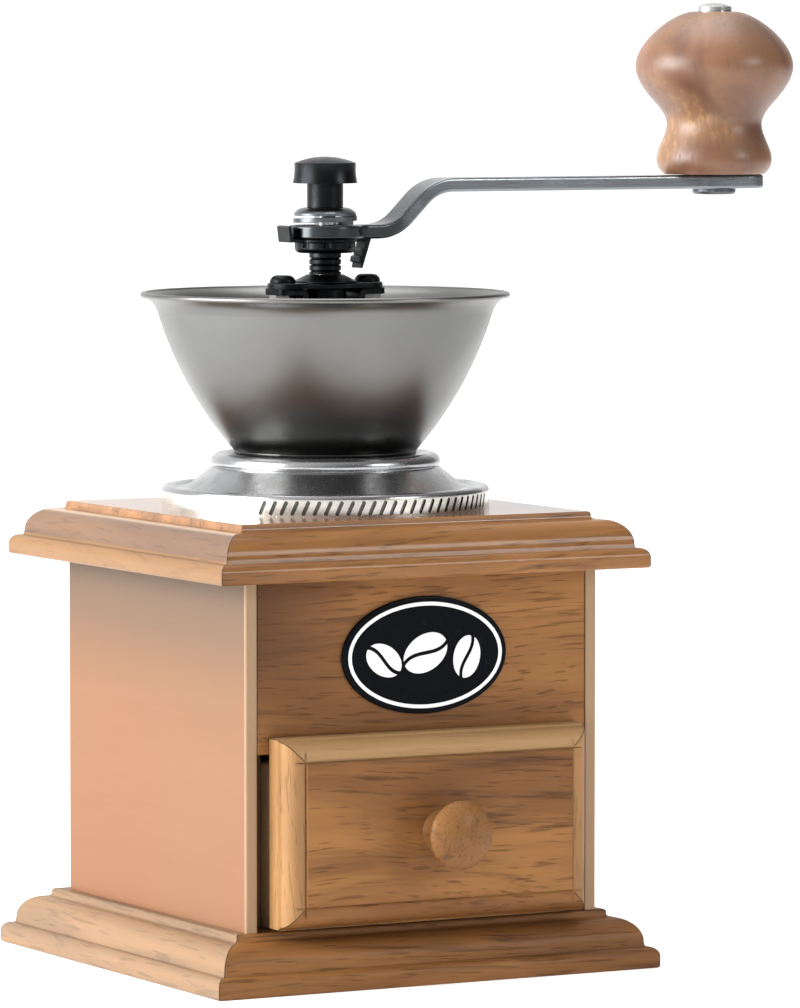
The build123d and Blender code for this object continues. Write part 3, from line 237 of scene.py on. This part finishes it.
class StudioSettings(bpy.types.PropertyGroup):
    """Camera, lights, floor and surroundings."""

    floor: colour_setting("Floor", "Plain pale floor", (0.90, 0.90, 0.90))
    key: bpy.props.FloatProperty(
        name="Key light", description="Power of the softbox on the left", default=44.0, unit="POWER"
    )
    fill: bpy.props.FloatProperty(
        name="Fill light", description="Power of the softbox on the right", default=10.5, unit="POWER"
    )
    top: bpy.props.FloatProperty(
        name="Top light", description="Power of the softbox overhead", default=14.0, unit="POWER"
    )
    azimuth: bpy.props.FloatProperty(
        name="Camera azimuth", description="Turn of the camera from the front", default=math.radians(-28.56),
        unit="ROTATION",
    )
    pitch: bpy.props.FloatProperty(
        name="Camera pitch", description="How far the camera looks down", default=math.radians(3.97),
        unit="ROTATION",
    )
    distance: length_setting("Camera distance", "From the camera to the mill's middle", 1.5726)
    lens: bpy.props.FloatProperty(
        name="Lens", description="Focal length over a 36 mm sensor", default=239.3, subtype="DISTANCE_CAMERA"
    )


# ---- wood --------------------------------------------------------------------------------------------------

GRAIN_ORDER = {"X": (0, 1, 2), "Y": (1, 0, 2), "Z": (2, 0, 1)}
SOFT_STEP = 0.0003  # half the height over which one tone of a moulding passes into the next
BASE_RAIL, TOP_RAIL, DRAWER_RAIL = 0.016, 0.0085, 0.0053  # widths of the mitred members
MEMBER_SHIFT = (0.31, 0.17, 0.05)  # takes a side member's pattern from another part of the tree


def grain_place(finish, grain):
    """The position with its first axis turned to run along the grain."""
    axes = finish.place.axes()
    ordered = {step: axes[axis] for step, axis in enumerate(GRAIN_ORDER[grain])}
    return Field.node(finish.tree, "ShaderNodeCombineXYZ", {}, ordered)


def drawn_out(place, ratio):
    """The position squeezed along the grain, so that a pattern over it is drawn out that many times."""
    return place * (1.0 / ratio, 1.0, 1.0)


def mitred(node, up, rail):
    """A board's mitred frame on the plane of X and the up axis: its middle, its half sizes and its rail."""
    low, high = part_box(node)
    middle, half = (low + high) / 2, (high - low) / 2
    return (0, middle.x), (up, middle[up]), half.x, half[up], rail


def frame_joint(finish, across, up, half_across, half_up, rail):
    """Where a mitred frame's side members, its upper member and its joints are, on the plane of two axes.

    Each axis is given as its number and the frame's middle along it.
    """
    axes = finish.place.axes()
    from_side = half_across - abs(axes[across[0]] - across[1])
    from_end = half_up - abs(axes[up[0]] - up[1])
    in_rail = 1.0 - from_side.band(rail - 0.0001, rail + 0.0001)
    sides = in_rail * (from_end - from_side).band(-0.00005, 0.00005)
    above = (axes[up[0]] - (up[1] + half_up - rail)).band(-0.0001, 0.0001) * (1.0 - sides)
    near_joint = 1.0 - abs(from_end - from_side).band(0.00006, 0.00022)
    outside_field = 1.0 - from_side.band(rail - 0.0006, rail - 0.0004)
    return sides, above, near_joint * outside_field


def board_wood(
    name, grain, light, dark, pore, gloss, edge, figure=1.0, polish=0.30, polished_above=None, heart_and_overhang_shadow=False,
    frame_of=None, members="Y", pale=(0.33, 0.19, 0.10), steps=(), painted_light_share=0.45, crown_highlight=0.0,
):
    """Open-grained hardwood under a thin oil film: growth bands, dark streaks, fibres and short open pores.

    Where frame_of gives a mitred frame, its side members have their own grain along the members axis and are
    mixed towards the pale colour by share, and the upper member is mixed towards it by crown. The pale colour
    changes to another above each height in steps. A polished board keeps its full gloss only above
    polished_above. A board with heart is darker towards its upper left.
    """
    finish = Finish(name, Coat_Weight=gloss, Coat_Roughness=polish, Specular_IOR_Level=0.20)
    place = grain_place(finish, grain)
    x, _, z = finish.place.axes()
    joint = 0.0
    if frame_of:
        sides, above, joint = frame_joint(finish, *frame_of)
        # Painted light by height on the side members: each step's colour paints shade or a highlight above
        # its level.
        for level, shade in steps:
            pale = z.band(level - SOFT_STEP, level + SOFT_STEP).between(pale, shade)
        other = grain_place(finish, members) + MEMBER_SHIFT
        place = Field.node(
            finish.tree, "ShaderNodeMix", {"data_type": "VECTOR"}, {0: sides, 4: place, 5: other}, 1
        )
    drift = drawn_out(place, 3.0).noise(24.0, 2.0) - 0.5
    place = place + drift.combine_with_vector((0.0, 0.016, 0.016))
    bands = drawn_out(place, 9.0).noise(70.0, 4.0, 0.58, 0.5).band(0.34, 0.68)
    streaks = drawn_out(place, 24.0).noise(300.0, 4.0, 0.62, 0.25).band(0.53, 0.70)
    patches = drawn_out(place, 3.0).noise(38.0, 2.0).band(0.35, 0.68)
    fibres = drawn_out(place, 34.0).noise(1700.0, 2.0, 0.7)
    pores = drawn_out(place, 17.0).noise(1500.0, 1.0, 0.5).band(0.60, 0.70)
    marks = streaks * (patches * 0.55 + 0.45) * (0.72 * figure)
    tone = (bands * (0.85 * figure)).between(light, dark)
    tone = marks.between(tone, pore)
    tone = (pores * (0.42 * figure)).between(tone, pore)
    tone = tone * (fibres * 0.44 + 0.78).between(0.0, 1.0)
    # Partly the heartwood's own darker colour and partly a painted shadow of the top board's overhang,
    # towards the upper left.
    if heart_and_overhang_shadow:
        heart_and_shadow_patch = (1.0 - (x + drift * 0.05).band(-0.036, 0.004)) * (z + drift * 0.03).band(0.058, 0.086)
        tone = (heart_and_shadow_patch * 0.92).between(tone, (0.080, 0.029, 0.009))
    if frame_of:
        # Painted sheen and highlight: the side members are mixed towards the pale painted tone.
        tone = (sides * painted_light_share).between(tone, pale)
        if crown_highlight:
            # Painted highlight on the upper member.
            tone = (above * crown_highlight).between(tone, pale)
        tone = (joint * 0.75).between(tone, pore)
    if polished_above:
        below = 0.30
        polished = z.band(polished_above, polished_above + 2 * SOFT_STEP)
        finish.drive("Coat Weight", polished * (gloss - below) + below)
    finish.drive("Base Color", tone)
    finish.drive("Roughness", 0.46 + fibres * 0.16 + pores * 0.12)
    finish.relief(fibres * 0.35 - pores * 0.7 - streaks * 0.35 - joint, 0.00012, edge)
    return finish.material


def side_wood(name, grain, tan, warm, gloss, edge, front):
    """Pale, plain wood with slow tan and peach clouds and a fine fibre, greyer at its top and front edge."""
    finish = Finish(name, Coat_Weight=gloss, Coat_Roughness=0.35, Specular_IOR_Level=0.3)
    place = grain_place(finish, grain)
    clouds = drawn_out(place, 1.6).noise(17.0, 2.0).band(0.33, 0.66)
    figure = drawn_out(place, 12.0).noise(120.0, 3.0, 0.55, 0.4).band(0.40, 0.72)
    fibres = drawn_out(place, 30.0).noise(1900.0, 2.0, 0.7)
    tone = (clouds * 0.75).between(tan, warm)
    tone = (figure * 0.10).between(tone, [c * 0.6 for c in warm])
    _, y, z = finish.place.axes()
    front_edge_highlight = 1.0 - y.band(front + 0.0003, front + 0.0009)
    # Painted shade: greyer and darker towards the top, under the top board's overhang.
    tone = (z.band(0.056, 0.094) * 0.85).between(tone, (0.086, 0.061, 0.040))
    # Painted highlight: a pale, greyer strip along the front edge.
    tone = (front_edge_highlight * 0.85).between(tone, (0.36, 0.235, 0.135))
    tone = tone * (fibres * 0.16 + 0.92).between(0.0, 1.0)
    finish.drive("Base Color", tone)
    finish.drive("Roughness", 0.52 + fibres * 0.12)
    finish.relief(fibres, 0.00003, edge)
    return finish.material


def bare_wood(name, grain, light, edge):
    """Unfinished sawn wood, with faint bands and a furry fibre."""
    finish = Finish(name, Specular_IOR_Level=0.25)
    place = grain_place(finish, grain)
    bands = drawn_out(place, 10.0).noise(90.0, 3.0, 0.55, 0.3).band(0.35, 0.68)
    fibres = drawn_out(place, 22.0).noise(1500.0, 3.0, 0.7)
    tone = (bands * 0.55).between(light, (0.44, 0.28, 0.14))
    finish.drive("Base Color", tone * (fibres * 0.36 + 0.82).between(0.0, 1.0))
    finish.drive("Roughness", 0.66 + fibres * 0.16)
    finish.relief(fibres, 0.00010, edge)
    return finish.material


def turned_wood(name, light, dark, gold, gloss):
    """Turned and lacquered wood with upright grain: soft wavy figure, golden flecks and a few dark lines."""
    finish = Finish(name, Coat_Weight=gloss, Coat_Roughness=0.34, Specular_IOR_Level=0.4)
    place = grain_place(finish, "Z")
    wavy = drawn_out(place, 1.8).noise(52.0, 2.0, 0.5, 0.9).band(0.32, 0.72)
    glow = drawn_out(place, 0.8).noise(40.0, 1.0).band(0.50, 0.70)
    flecks = drawn_out(place, 3.0).noise(640.0, 2.0, 0.6, 0.4).band(0.45, 0.75)
    streaks = drawn_out(place, 9.0).noise(420.0, 3.0, 0.6, 0.6).band(0.56, 0.76)
    pores = drawn_out(place, 12.0).noise(2100.0, 1.0).band(0.63, 0.72)
    tone = (wavy * 0.85).between(light, dark)
    tone = (glow * (flecks * 0.5 + 0.35)).between(tone, gold)
    tone = (streaks * 0.30).between(tone, dark)
    tone = (pores * 0.22).between(tone, [c * 0.3 for c in dark])
    finish.drive("Base Color", tone)
    finish.drive("Roughness", 0.42 + pores * 0.2 + streaks * 0.08)
    finish.relief(streaks * -0.3 - pores * 0.5, 0.00004)
    return finish.material


# ---- metal and enamel --------------------------------------------------------------------------------------


def spun_steel(name, colour, roughness, foot, head):
    """Satin steel with the fine rings of spinning and soft smudges, duller towards the foot."""
    finish = Finish(name, Metallic=1.0)
    height = finish.place.axes()[2]
    turns = Field.node(finish.tree, "ShaderNodeCombineXYZ", {}, {2: height}).noise(5200.0, 3.0, 0.7)
    smudge = finish.place.noise(46.0, 4.0, 0.6).band(0.38, 0.72)
    # Painted reflection: darker and a little smoother towards the foot, where the bowl reflects the board and
    # collar below.
    painted_foot_reflection = 1.0 - height.band(foot, head)
    tone = (smudge * 0.35).between(colour, [c * 0.86 for c in colour])
    tone = (painted_foot_reflection * 0.80).between(tone, [c * 0.22 for c in colour])
    finish.drive("Base Color", tone)
    finish.drive("Roughness", roughness + (turns - 0.5) * 0.10 + smudge * 0.05 - painted_foot_reflection * 0.06)
    finish.relief(turns, 0.000006)
    return finish.material


def bright_plate(name, colour, roughness, stamped=None):
    """Bright plate, hazed here and there, over metal that isn't quite flat, and black in stamped reeds."""
    finish = Finish(name, Metallic=1.0)
    haze = finish.place.noise(120.0, 4.0, 0.62).band(0.42, 0.75)
    waves = finish.place.noise(210.0, 2.0)
    pits = finish.place.noise(2600.0, 1.0).band(0.66, 0.74)
    tone = (haze * 0.4 + pits * 0.3).between(colour, [c * 0.6 for c in colour])
    if stamped:
        reeds, skirt = stamped(finish)
        tone = skirt.between(tone, (0.76, 0.73, 0.67))
        tone = (reeds * 0.86).between(tone, [c * 0.03 for c in colour])
    finish.drive("Base Color", tone)
    finish.drive("Roughness", roughness + haze * 0.12 + pits * 0.15)
    finish.relief(waves - pits * 0.15, 0.00004)
    return finish.material


REEDS_TOP = 0.110  # height where the collar's stamped skirt ends


def collar_skirt(finish):
    """The floor of the collar's stamped reeds, just inside its skirt's radius, and the whole skirt."""
    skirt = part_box("base_flange")[1].x
    x, y, z = finish.place.axes()
    radius = Field.node(
        finish.tree, "ShaderNodeVectorMath", {"operation": "LENGTH"},
        {0: Field.node(finish.tree, "ShaderNodeCombineXYZ", {}, {0: x, 1: y})}, 1
    )
    inside = 1.0 - radius.band(skirt - 0.00022, skirt - 0.00006)
    low = 1.0 - z.band(REEDS_TOP - 0.0001, REEDS_TOP + 0.0001)
    near = radius.band(skirt - 0.0007, skirt - 0.0006)
    return inside * near * low, near * low


def drawn_steel(name, colour, roughness, grain, blackened=0.0):
    """Polished bar with fine polishing lines along it, blackened within a distance of the mill's axis."""
    finish = Finish(name, Metallic=1.0)
    lines = drawn_out(grain_place(finish, grain), 40.0).noise(3800.0, 3.0, 0.7)
    haze = finish.place.noise(70.0, 3.0).band(0.40, 0.70)
    tone = (haze * 0.35).between(colour, [c * 0.8 for c in colour])
    if blackened:
        worn = finish.place.axes()[0] + (haze - 0.5) * 0.006
        bright = worn.band(blackened * 0.55, blackened)
        tone = (0.85 - bright * 0.85).between(tone, [c * 0.14 for c in colour])
    finish.drive("Base Color", tone)
    finish.drive("Roughness", roughness + (lines - 0.5) * 0.14 + haze * 0.06)
    finish.relief(lines, 0.000012, 0.0003)
    return finish.material


def black_steel(name, colour, roughness):
    """Chemically blackened steel, rubbed a little brighter in places."""
    finish = Finish(name, Metallic=1.0)
    rubbed = finish.place.noise(190.0, 4.0, 0.65).band(0.46, 0.74)
    speckle = finish.place.noise(2400.0, 2.0, 0.6)
    bright = [min(1.0, c * 3.2) for c in colour]
    finish.drive("Base Color", (rubbed * 0.5).between(colour, bright))
    finish.drive("Roughness", roughness + speckle * 0.12 - rubbed * 0.08)
    finish.relief(speckle, 0.00002, 0.0002)
    return finish.material


def cast_iron(name, colour):
    """Grey iron with a sandy skin."""
    finish = Finish(name, Metallic=1.0)
    sand = finish.place.noise(1700.0, 4.0, 0.65)
    stain = finish.place.noise(150.0, 3.0).band(0.42, 0.72)
    finish.drive("Base Color", (stain * 0.5).between(colour, (0.10, 0.075, 0.055)))
    finish.drive("Roughness", 0.48 + sand * 0.22)
    finish.relief(sand, 0.00008, 0.0002)
    return finish.material


def zinc_plate(name, colour):
    """Zinc plate with small dull crystals."""
    finish = Finish(name, Metallic=1.0)
    crystals = Field.node(
        finish.tree, "ShaderNodeTexVoronoi", {"feature": "F1"}, {"Vector": finish.place, "Scale": 1500.0}
    )
    finish.drive("Base Color", crystals.band(0.1, 0.9).between(colour, [c * 0.8 for c in colour]))
    finish.drive("Roughness", 0.26 + crystals * 0.18)
    finish.relief(crystals, 0.000015, 0.0001)
    return finish.material


def enamel(name, colour, gloss_roughness):
    """Fired enamel, with the faint ripple of its surface."""
    finish = Finish(name, Coat_Weight=0.01, Coat_Roughness=0.10, Specular_IOR_Level=0.03)
    ripple = finish.place.noise(420.0, 2.0)
    dust = finish.place.noise(260.0, 3.0, 0.6).band(0.50, 0.80)
    finish.drive("Base Color", (dust * 0.003).between(colour, (0.5, 0.5, 0.5)))
    finish.drive("Roughness", gloss_roughness + dust * 0.2)
    finish.relief(ripple, 0.00002)
    return finish.material


def paint(material, *nodes):
    """Gives CAD nodes a finish."""
    for node in nodes:
        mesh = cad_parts[node].data
        mesh.materials.clear()
        mesh.materials.append(material)


# ---- operators ---------------------------------------------------------------------------------------------


class MILL_OT_case(bpy.types.Operator):
    """Finishes the boards of the case"""

    bl_idname = "mill.case"
    bl_label = "Case Boards"

    def execute(self, context):
        wood = context.scene.mill_wood
        tones = (wood.board_light, wood.board_dark, wood.pore)
        looks = {"gloss": wood.board_gloss, "edge": wood.eased_edge}
        # The front panel's upper left is darker: partly heartwood, partly a painted shadow of the top board's
        # overhang.
        paint(board_wood("oak_front_panel", "X", *tones, heart_and_overhang_shadow=True, **looks), "front_panel")
        paint(board_wood("oak_back_panel", "X", *tones, **looks), "back_panel")
        # Painted sheen: the base board's side members are mixed towards a pale, less saturated tone.
        base = board_wood(
            "oak_base_board", "X", *tones, frame_of=mitred("base_board", 1, BASE_RAIL),
            pale=(0.25, 0.205, 0.15), **looks,
        )
        paint(base, "base_board")
        low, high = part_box("top_board")
        lip_top, platform = low.z + 0.0051, high.z - 0.0021
        # Painted light on the top board's side members: a pale highlight on the lip, painted shade on the
        # ovolo above lip_top and a cream painted highlight on the platform.
        top = board_wood(
            "oak_top_board", "X", *tones, gloss=wood.top_gloss, edge=wood.eased_edge, polish=0.14,
            polished_above=platform, frame_of=mitred("top_board", 1, TOP_RAIL), pale=(0.20, 0.11, 0.049),
            steps=((lip_top, (0.124, 0.078, 0.054)), (platform, (0.50, 0.38, 0.26))), painted_light_share=0.8,
        )
        paint(top, "top_board")
        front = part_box("left_side_panel")[0].y
        side = side_wood(
            "side_boards", "Y", wood.side_light, wood.side_warm, wood.board_gloss, wood.eased_edge, front
        )
        paint(side, "left_side_panel", "right_side_panel")
        paint(bare_wood("beech_dowels", "Z", wood.plain_light, wood.eased_edge), "top_dowels")
        return {"FINISHED"}


class MILL_OT_drawer(bpy.types.Operator):
    """Finishes the drawer's front, its box and its pull"""

    bl_idname = "mill.drawer"
    bl_label = "Drawer"

    def execute(self, context):
        wood = context.scene.mill_wood
        tones = (wood.board_light, wood.board_dark, wood.pore)
        # Painted highlight: the drawer front's side members and its upper member are mixed towards a pale
        # tone.
        front = board_wood(
            "oak_drawer_front", "X", *tones, gloss=wood.board_gloss, edge=wood.eased_edge, members="Z",
            frame_of=mitred("drawer_front", 2, DRAWER_RAIL), pale=(0.36, 0.215, 0.095), crown_highlight=0.9,
        )
        paint(front, "drawer_front")
        across = bare_wood("box_wood_across", "X", wood.plain_light, wood.eased_edge)
        paint(across, "drawer_box_front", "drawer_back")
        lengthwise = bare_wood("box_wood_lengthwise", "Y", wood.plain_light, wood.eased_edge)
        paint(lengthwise, "drawer_left_side", "drawer_right_side", "drawer_bottom")
        tones = [[c * 0.72 for c in tone] for tone in tones]
        pull = board_wood("turned_pull", "Y", *tones, figure=0.55, gloss=0.12, edge=0.0)
        paint(pull, "drawer_knob")
        return {"FINISHED"}


class MILL_OT_badge(bpy.types.Operator):
    """Enamels the oval badge"""

    bl_idname = "mill.badge"
    bl_label = "Badge"

    def execute(self, context):
        colours = context.scene.mill_enamel
        paint(enamel("black_enamel", colours.ground, 0.22), "badge_plate")
        paint(enamel("white_enamel", colours.lines, 0.35), "badge_inlay")
        return {"FINISHED"}


class MILL_OT_hopper(bpy.types.Operator):
    """Finishes the bowl and the collar under it"""

    bl_idname = "mill.hopper"
    bl_label = "Bowl and Collar"

    def execute(self, context):
        metal = context.scene.mill_metal
        low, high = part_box("hopper_bowl")
        foot, head = low.z, low.z + 0.55 * (high.z - low.z)
        paint(spun_steel("spun_bowl", metal.bowl, metal.bowl_roughness, foot, head), "hopper_bowl")
        plate = bright_plate("collar_chrome", metal.chrome, metal.chrome_roughness, stamped=collar_skirt)
        paint(plate, "base_flange")
        return {"FINISHED"}


class MILL_OT_burrs(bpy.types.Operator):
    """Finishes the burrs, their carrier and the spindle"""

    bl_idname = "mill.burrs"
    bl_label = "Burrs and Spindle"

    def execute(self, context):
        metal = context.scene.mill_metal
        iron = cast_iron("grey_iron", metal.iron)
        paint(iron, "burr_carrier", "outer_burr", "inner_burr", "lower_guide")
        turned = drawn_steel("turned_spindle", metal.zinc, 0.24, "Z")
        paint(turned, "spindle", "drive_pin")
        return {"FINISHED"}


class MILL_OT_yoke(bpy.types.Operator):
    """Blackens the yoke, the bush and the adjusting nut"""

    bl_idname = "mill.yoke"
    bl_label = "Yoke and Adjusting Nut"

    def execute(self, context):
        metal = context.scene.mill_metal
        black = black_steel("black_yoke", metal.black, 0.34)
        paint(black, "left_yoke_leg", "right_yoke_leg", "bridge_plate", "upper_bush", "bridge_screws")
        paint(black_steel("black_nut", metal.black, 0.28), "adjusting_nut", "stopper_plate")
        wire = drawn_steel("spring_wire", [c * 0.55 for c in metal.zinc], 0.28, "Z")
        paint(wire, "return_spring", "spring_seat")
        return {"FINISHED"}


class MILL_OT_crank(bpy.types.Operator):
    """Finishes the crank arm, its washers and its nut"""

    bl_idname = "mill.crank"
    bl_label = "Crank"

    def execute(self, context):
        metal = context.scene.mill_metal
        paint(drawn_steel("arm_steel", metal.arm, metal.arm_roughness, "X", 0.030), "crank_arm")
        paint(black_steel("black_cap", metal.black, 0.30), "cap_nut")
        washers = black_steel("worn_washers", [c * 8.0 for c in metal.black], 0.26)
        paint(washers, "spring_washer", "domed_washer", "bolt_end_nut", "knob_washer")
        return {"FINISHED"}


class MILL_OT_crank_knob(bpy.types.Operator):
    """Finishes the turned knob and its bolt"""

    bl_idname = "mill.crank_knob"
    bl_label = "Crank Knob"

    def execute(self, context):
        wood = context.scene.mill_wood
        metal = context.scene.mill_metal
        knob = turned_wood("turned_knob", wood.knob_light, wood.knob_dark, wood.knob_gold, wood.knob_gloss)
        paint(knob, "crank_knob")
        paint(bright_plate("knob_bolt_steel", metal.zinc, 0.2), "knob_bolt")
        return {"FINISHED"}


class MILL_OT_screws(bpy.types.Operator):
    """Plates the screws and the plain nuts"""

    bl_idname = "mill.screws"
    bl_label = "Screws"

    def execute(self, context):
        plate = zinc_plate("zinc_screws", context.scene.mill_metal.zinc)
        paint(plate, "base_screws", "carrier_screws", "guide_screws", "yoke_foot_screws")
        paint(plate, "bridge_nuts", "burr_nut", "drawer_knob_screw")
        return {"FINISHED"}


SOFTBOXES = {
    "key": ((-1.35, 0.22, 0.50), (1.1, 0.9)),
    "fill": ((0.95, -1.55, 0.75), (0.5, 0.5)),
    "top": ((0.1, 0.25, 1.5), (1.1, 1.1)),
}
AIM_HEIGHT = 0.1  # height on the mill's axis that the softboxes face
LOOK_ACROSS, LOOK_HEIGHT = 0.01705, 0.10643  # the point looked at, right of the axis and above the floor


class MILL_OT_studio(bpy.types.Operator):
    """Sets the mill on a pale floor under soft light, and places the camera"""

    bl_idname = "mill.studio"
    bl_label = "Studio"

    def execute(self, context):
        studio = context.scene.mill_studio
        self.lay_floor(studio)
        self.surround(context.scene)
        for light, (place, size) in SOFTBOXES.items():
            self.hang_softbox(f"{light}_softbox", place, size, getattr(studio, light))
        self.place_camera(context.scene, studio)
        return {"FINISHED"}

    @staticmethod
    def lay_floor(studio):
        """A sweep: a flat floor that curves up behind the mill."""
        near_end, bend_start, rise, bend, half_width, steps = -3.0, 1.6, 2.6, 0.9, 4.0, 12
        section = [(near_end, 0.0), (bend_start, 0.0)]
        for step in range(1, steps + 1):
            turn = math.pi / 2 * step / steps
            section.append((bend_start + bend * math.sin(turn), bend * (1 - math.cos(turn))))
        section.append((bend_start + bend, rise))
        mesh = bmesh.new()
        rows = [[mesh.verts.new((side * half_width, y, z)) for side in (-1, 1)] for y, z in section]
        for near, far in zip(rows, rows[1:]):
            mesh.faces.new((near[0], near[1], far[1], far[0]))
        data = bpy.data.meshes.new("studio_sweep")
        mesh.to_mesh(data)
        mesh.free()
        data.shade_smooth()
        glow = {"Emission_Color": (1.0, 1.0, 1.0, 1.0), "Emission_Strength": 0.34}
        finish = Finish("studio_paper", Specular_IOR_Level=0.1, **glow)
        mottle = finish.place.noise(3.0, 2.0)
        finish.drive("Base Color", (mottle * 0.06).between(studio.floor, (0.80, 0.80, 0.80)))
        finish.drive("Roughness", 0.8 + mottle * 0.1)
        data.materials.append(finish.material)
        sweep = bpy.data.objects.new("studio_sweep", data)
        bpy.context.scene.collection.objects.link(sweep)

    @staticmethod
    def surround(scene):
        """Soft surroundings, bright behind and above, and dimmer on the camera's side."""
        world = bpy.data.worlds.new("studio_air")
        world.use_nodes = True
        scene.world = world
        tree = world.node_tree
        side, depth, height = Field.node(tree, "ShaderNodeTexCoord", output="Generated").axes()
        bright = (depth * 0.5 + height * 0.5 - side * 0.60).band(-0.6, 0.7)
        sky = tree.nodes["Background"]
        join(tree, bright.between((0.12, 0.12, 0.125), (1.0, 1.0, 1.0)), sky.inputs["Color"])
        sky.inputs["Strength"].default_value = 0.9

    @staticmethod
    def hang_softbox(name, place, size, power):
        """A rectangular softbox aimed at the mill."""
        lamp = bpy.data.lights.new(name, "AREA")
        lamp.shape = "RECTANGLE"
        lamp.size, lamp.size_y = size
        lamp.energy = power
        box = bpy.data.objects.new(name, lamp)
        box.location = place
        aim = Vector((0.0, 0.0, AIM_HEIGHT)) - Vector(place)
        box.rotation_euler = aim.to_track_quat("-Z", "Y").to_euler()
        bpy.context.scene.collection.objects.link(box)

    @staticmethod
    def place_camera(scene, studio):
        """A long lens a little to the left of the front, looking slightly down."""
        lens = bpy.data.cameras.new("camera")
        lens.lens = studio.lens
        lens.shift_x = 0.002
        lens.clip_start, lens.clip_end = 0.05, 20.0
        turn, tilt = -studio.azimuth, studio.pitch
        forward = Vector((math.sin(turn) * math.cos(tilt), math.cos(turn) * math.cos(tilt), -math.sin(tilt)))
        across = Vector((math.cos(turn), -math.sin(turn), 0.0))
        middle = across * LOOK_ACROSS + Vector((0.0, 0.0, LOOK_HEIGHT))
        camera = bpy.data.objects.new("camera", lens)
        camera.location = middle - forward * studio.distance
        camera.rotation_euler = forward.to_track_quat("-Z", "Y").to_euler()
        scene.collection.objects.link(camera)
        scene.camera = camera
        scene.view_settings.view_transform = "Standard"


class MILL_PT_finishes(bpy.types.Panel):
    """Lists the mill's settings and steps in the sidebar"""

    bl_idname = "MILL_PT_finishes"
    bl_label = "Box Mill"
    bl_space_type = "VIEW_3D"
    bl_region_type = "UI"
    bl_category = "Box Mill"

    def draw(self, context):
        for title, settings in SETTINGS.items():
            group = getattr(context.scene, title)
            column = self.layout.column(heading=settings.__doc__)
            for setting in settings.__annotations__:
                column.prop(group, setting)
        for step in STEPS:
            self.layout.operator(step.bl_idname)


SETTINGS = {
    "mill_wood": WoodSettings,
    "mill_metal": MetalSettings,
    "mill_enamel": EnamelSettings,
    "mill_studio": StudioSettings,
}
STEPS = (
    MILL_OT_case,
    MILL_OT_drawer,
    MILL_OT_badge,
    MILL_OT_hopper,
    MILL_OT_burrs,
    MILL_OT_yoke,
    MILL_OT_crank,
    MILL_OT_crank_knob,
    MILL_OT_screws,
    MILL_OT_studio,
)


def register():
    """Registers the settings, the operators and the panel."""
    for title, settings in SETTINGS.items():
        bpy.utils.register_class(settings)
        setattr(bpy.types.Scene, title, bpy.props.PointerProperty(type=settings))
    for step in STEPS:
        bpy.utils.register_class(step)
    bpy.utils.register_class(MILL_PT_finishes)


def unregister():
    """Takes the panel, the operators and the settings away again."""
    bpy.utils.unregister_class(MILL_PT_finishes)
    for step in reversed(STEPS):
        bpy.utils.unregister_class(step)
    for title, settings in SETTINGS.items():
        delattr(bpy.types.Scene, title)
        bpy.utils.unregister_class(settings)


def main():
    """Runs every step in order, and writes the CAD box and the finished model's box."""
    register()
    for step in STEPS:
        getattr(bpy.ops.mill, step.bl_idname.split(".")[1])()


if __name__ == "__main__":
    main()
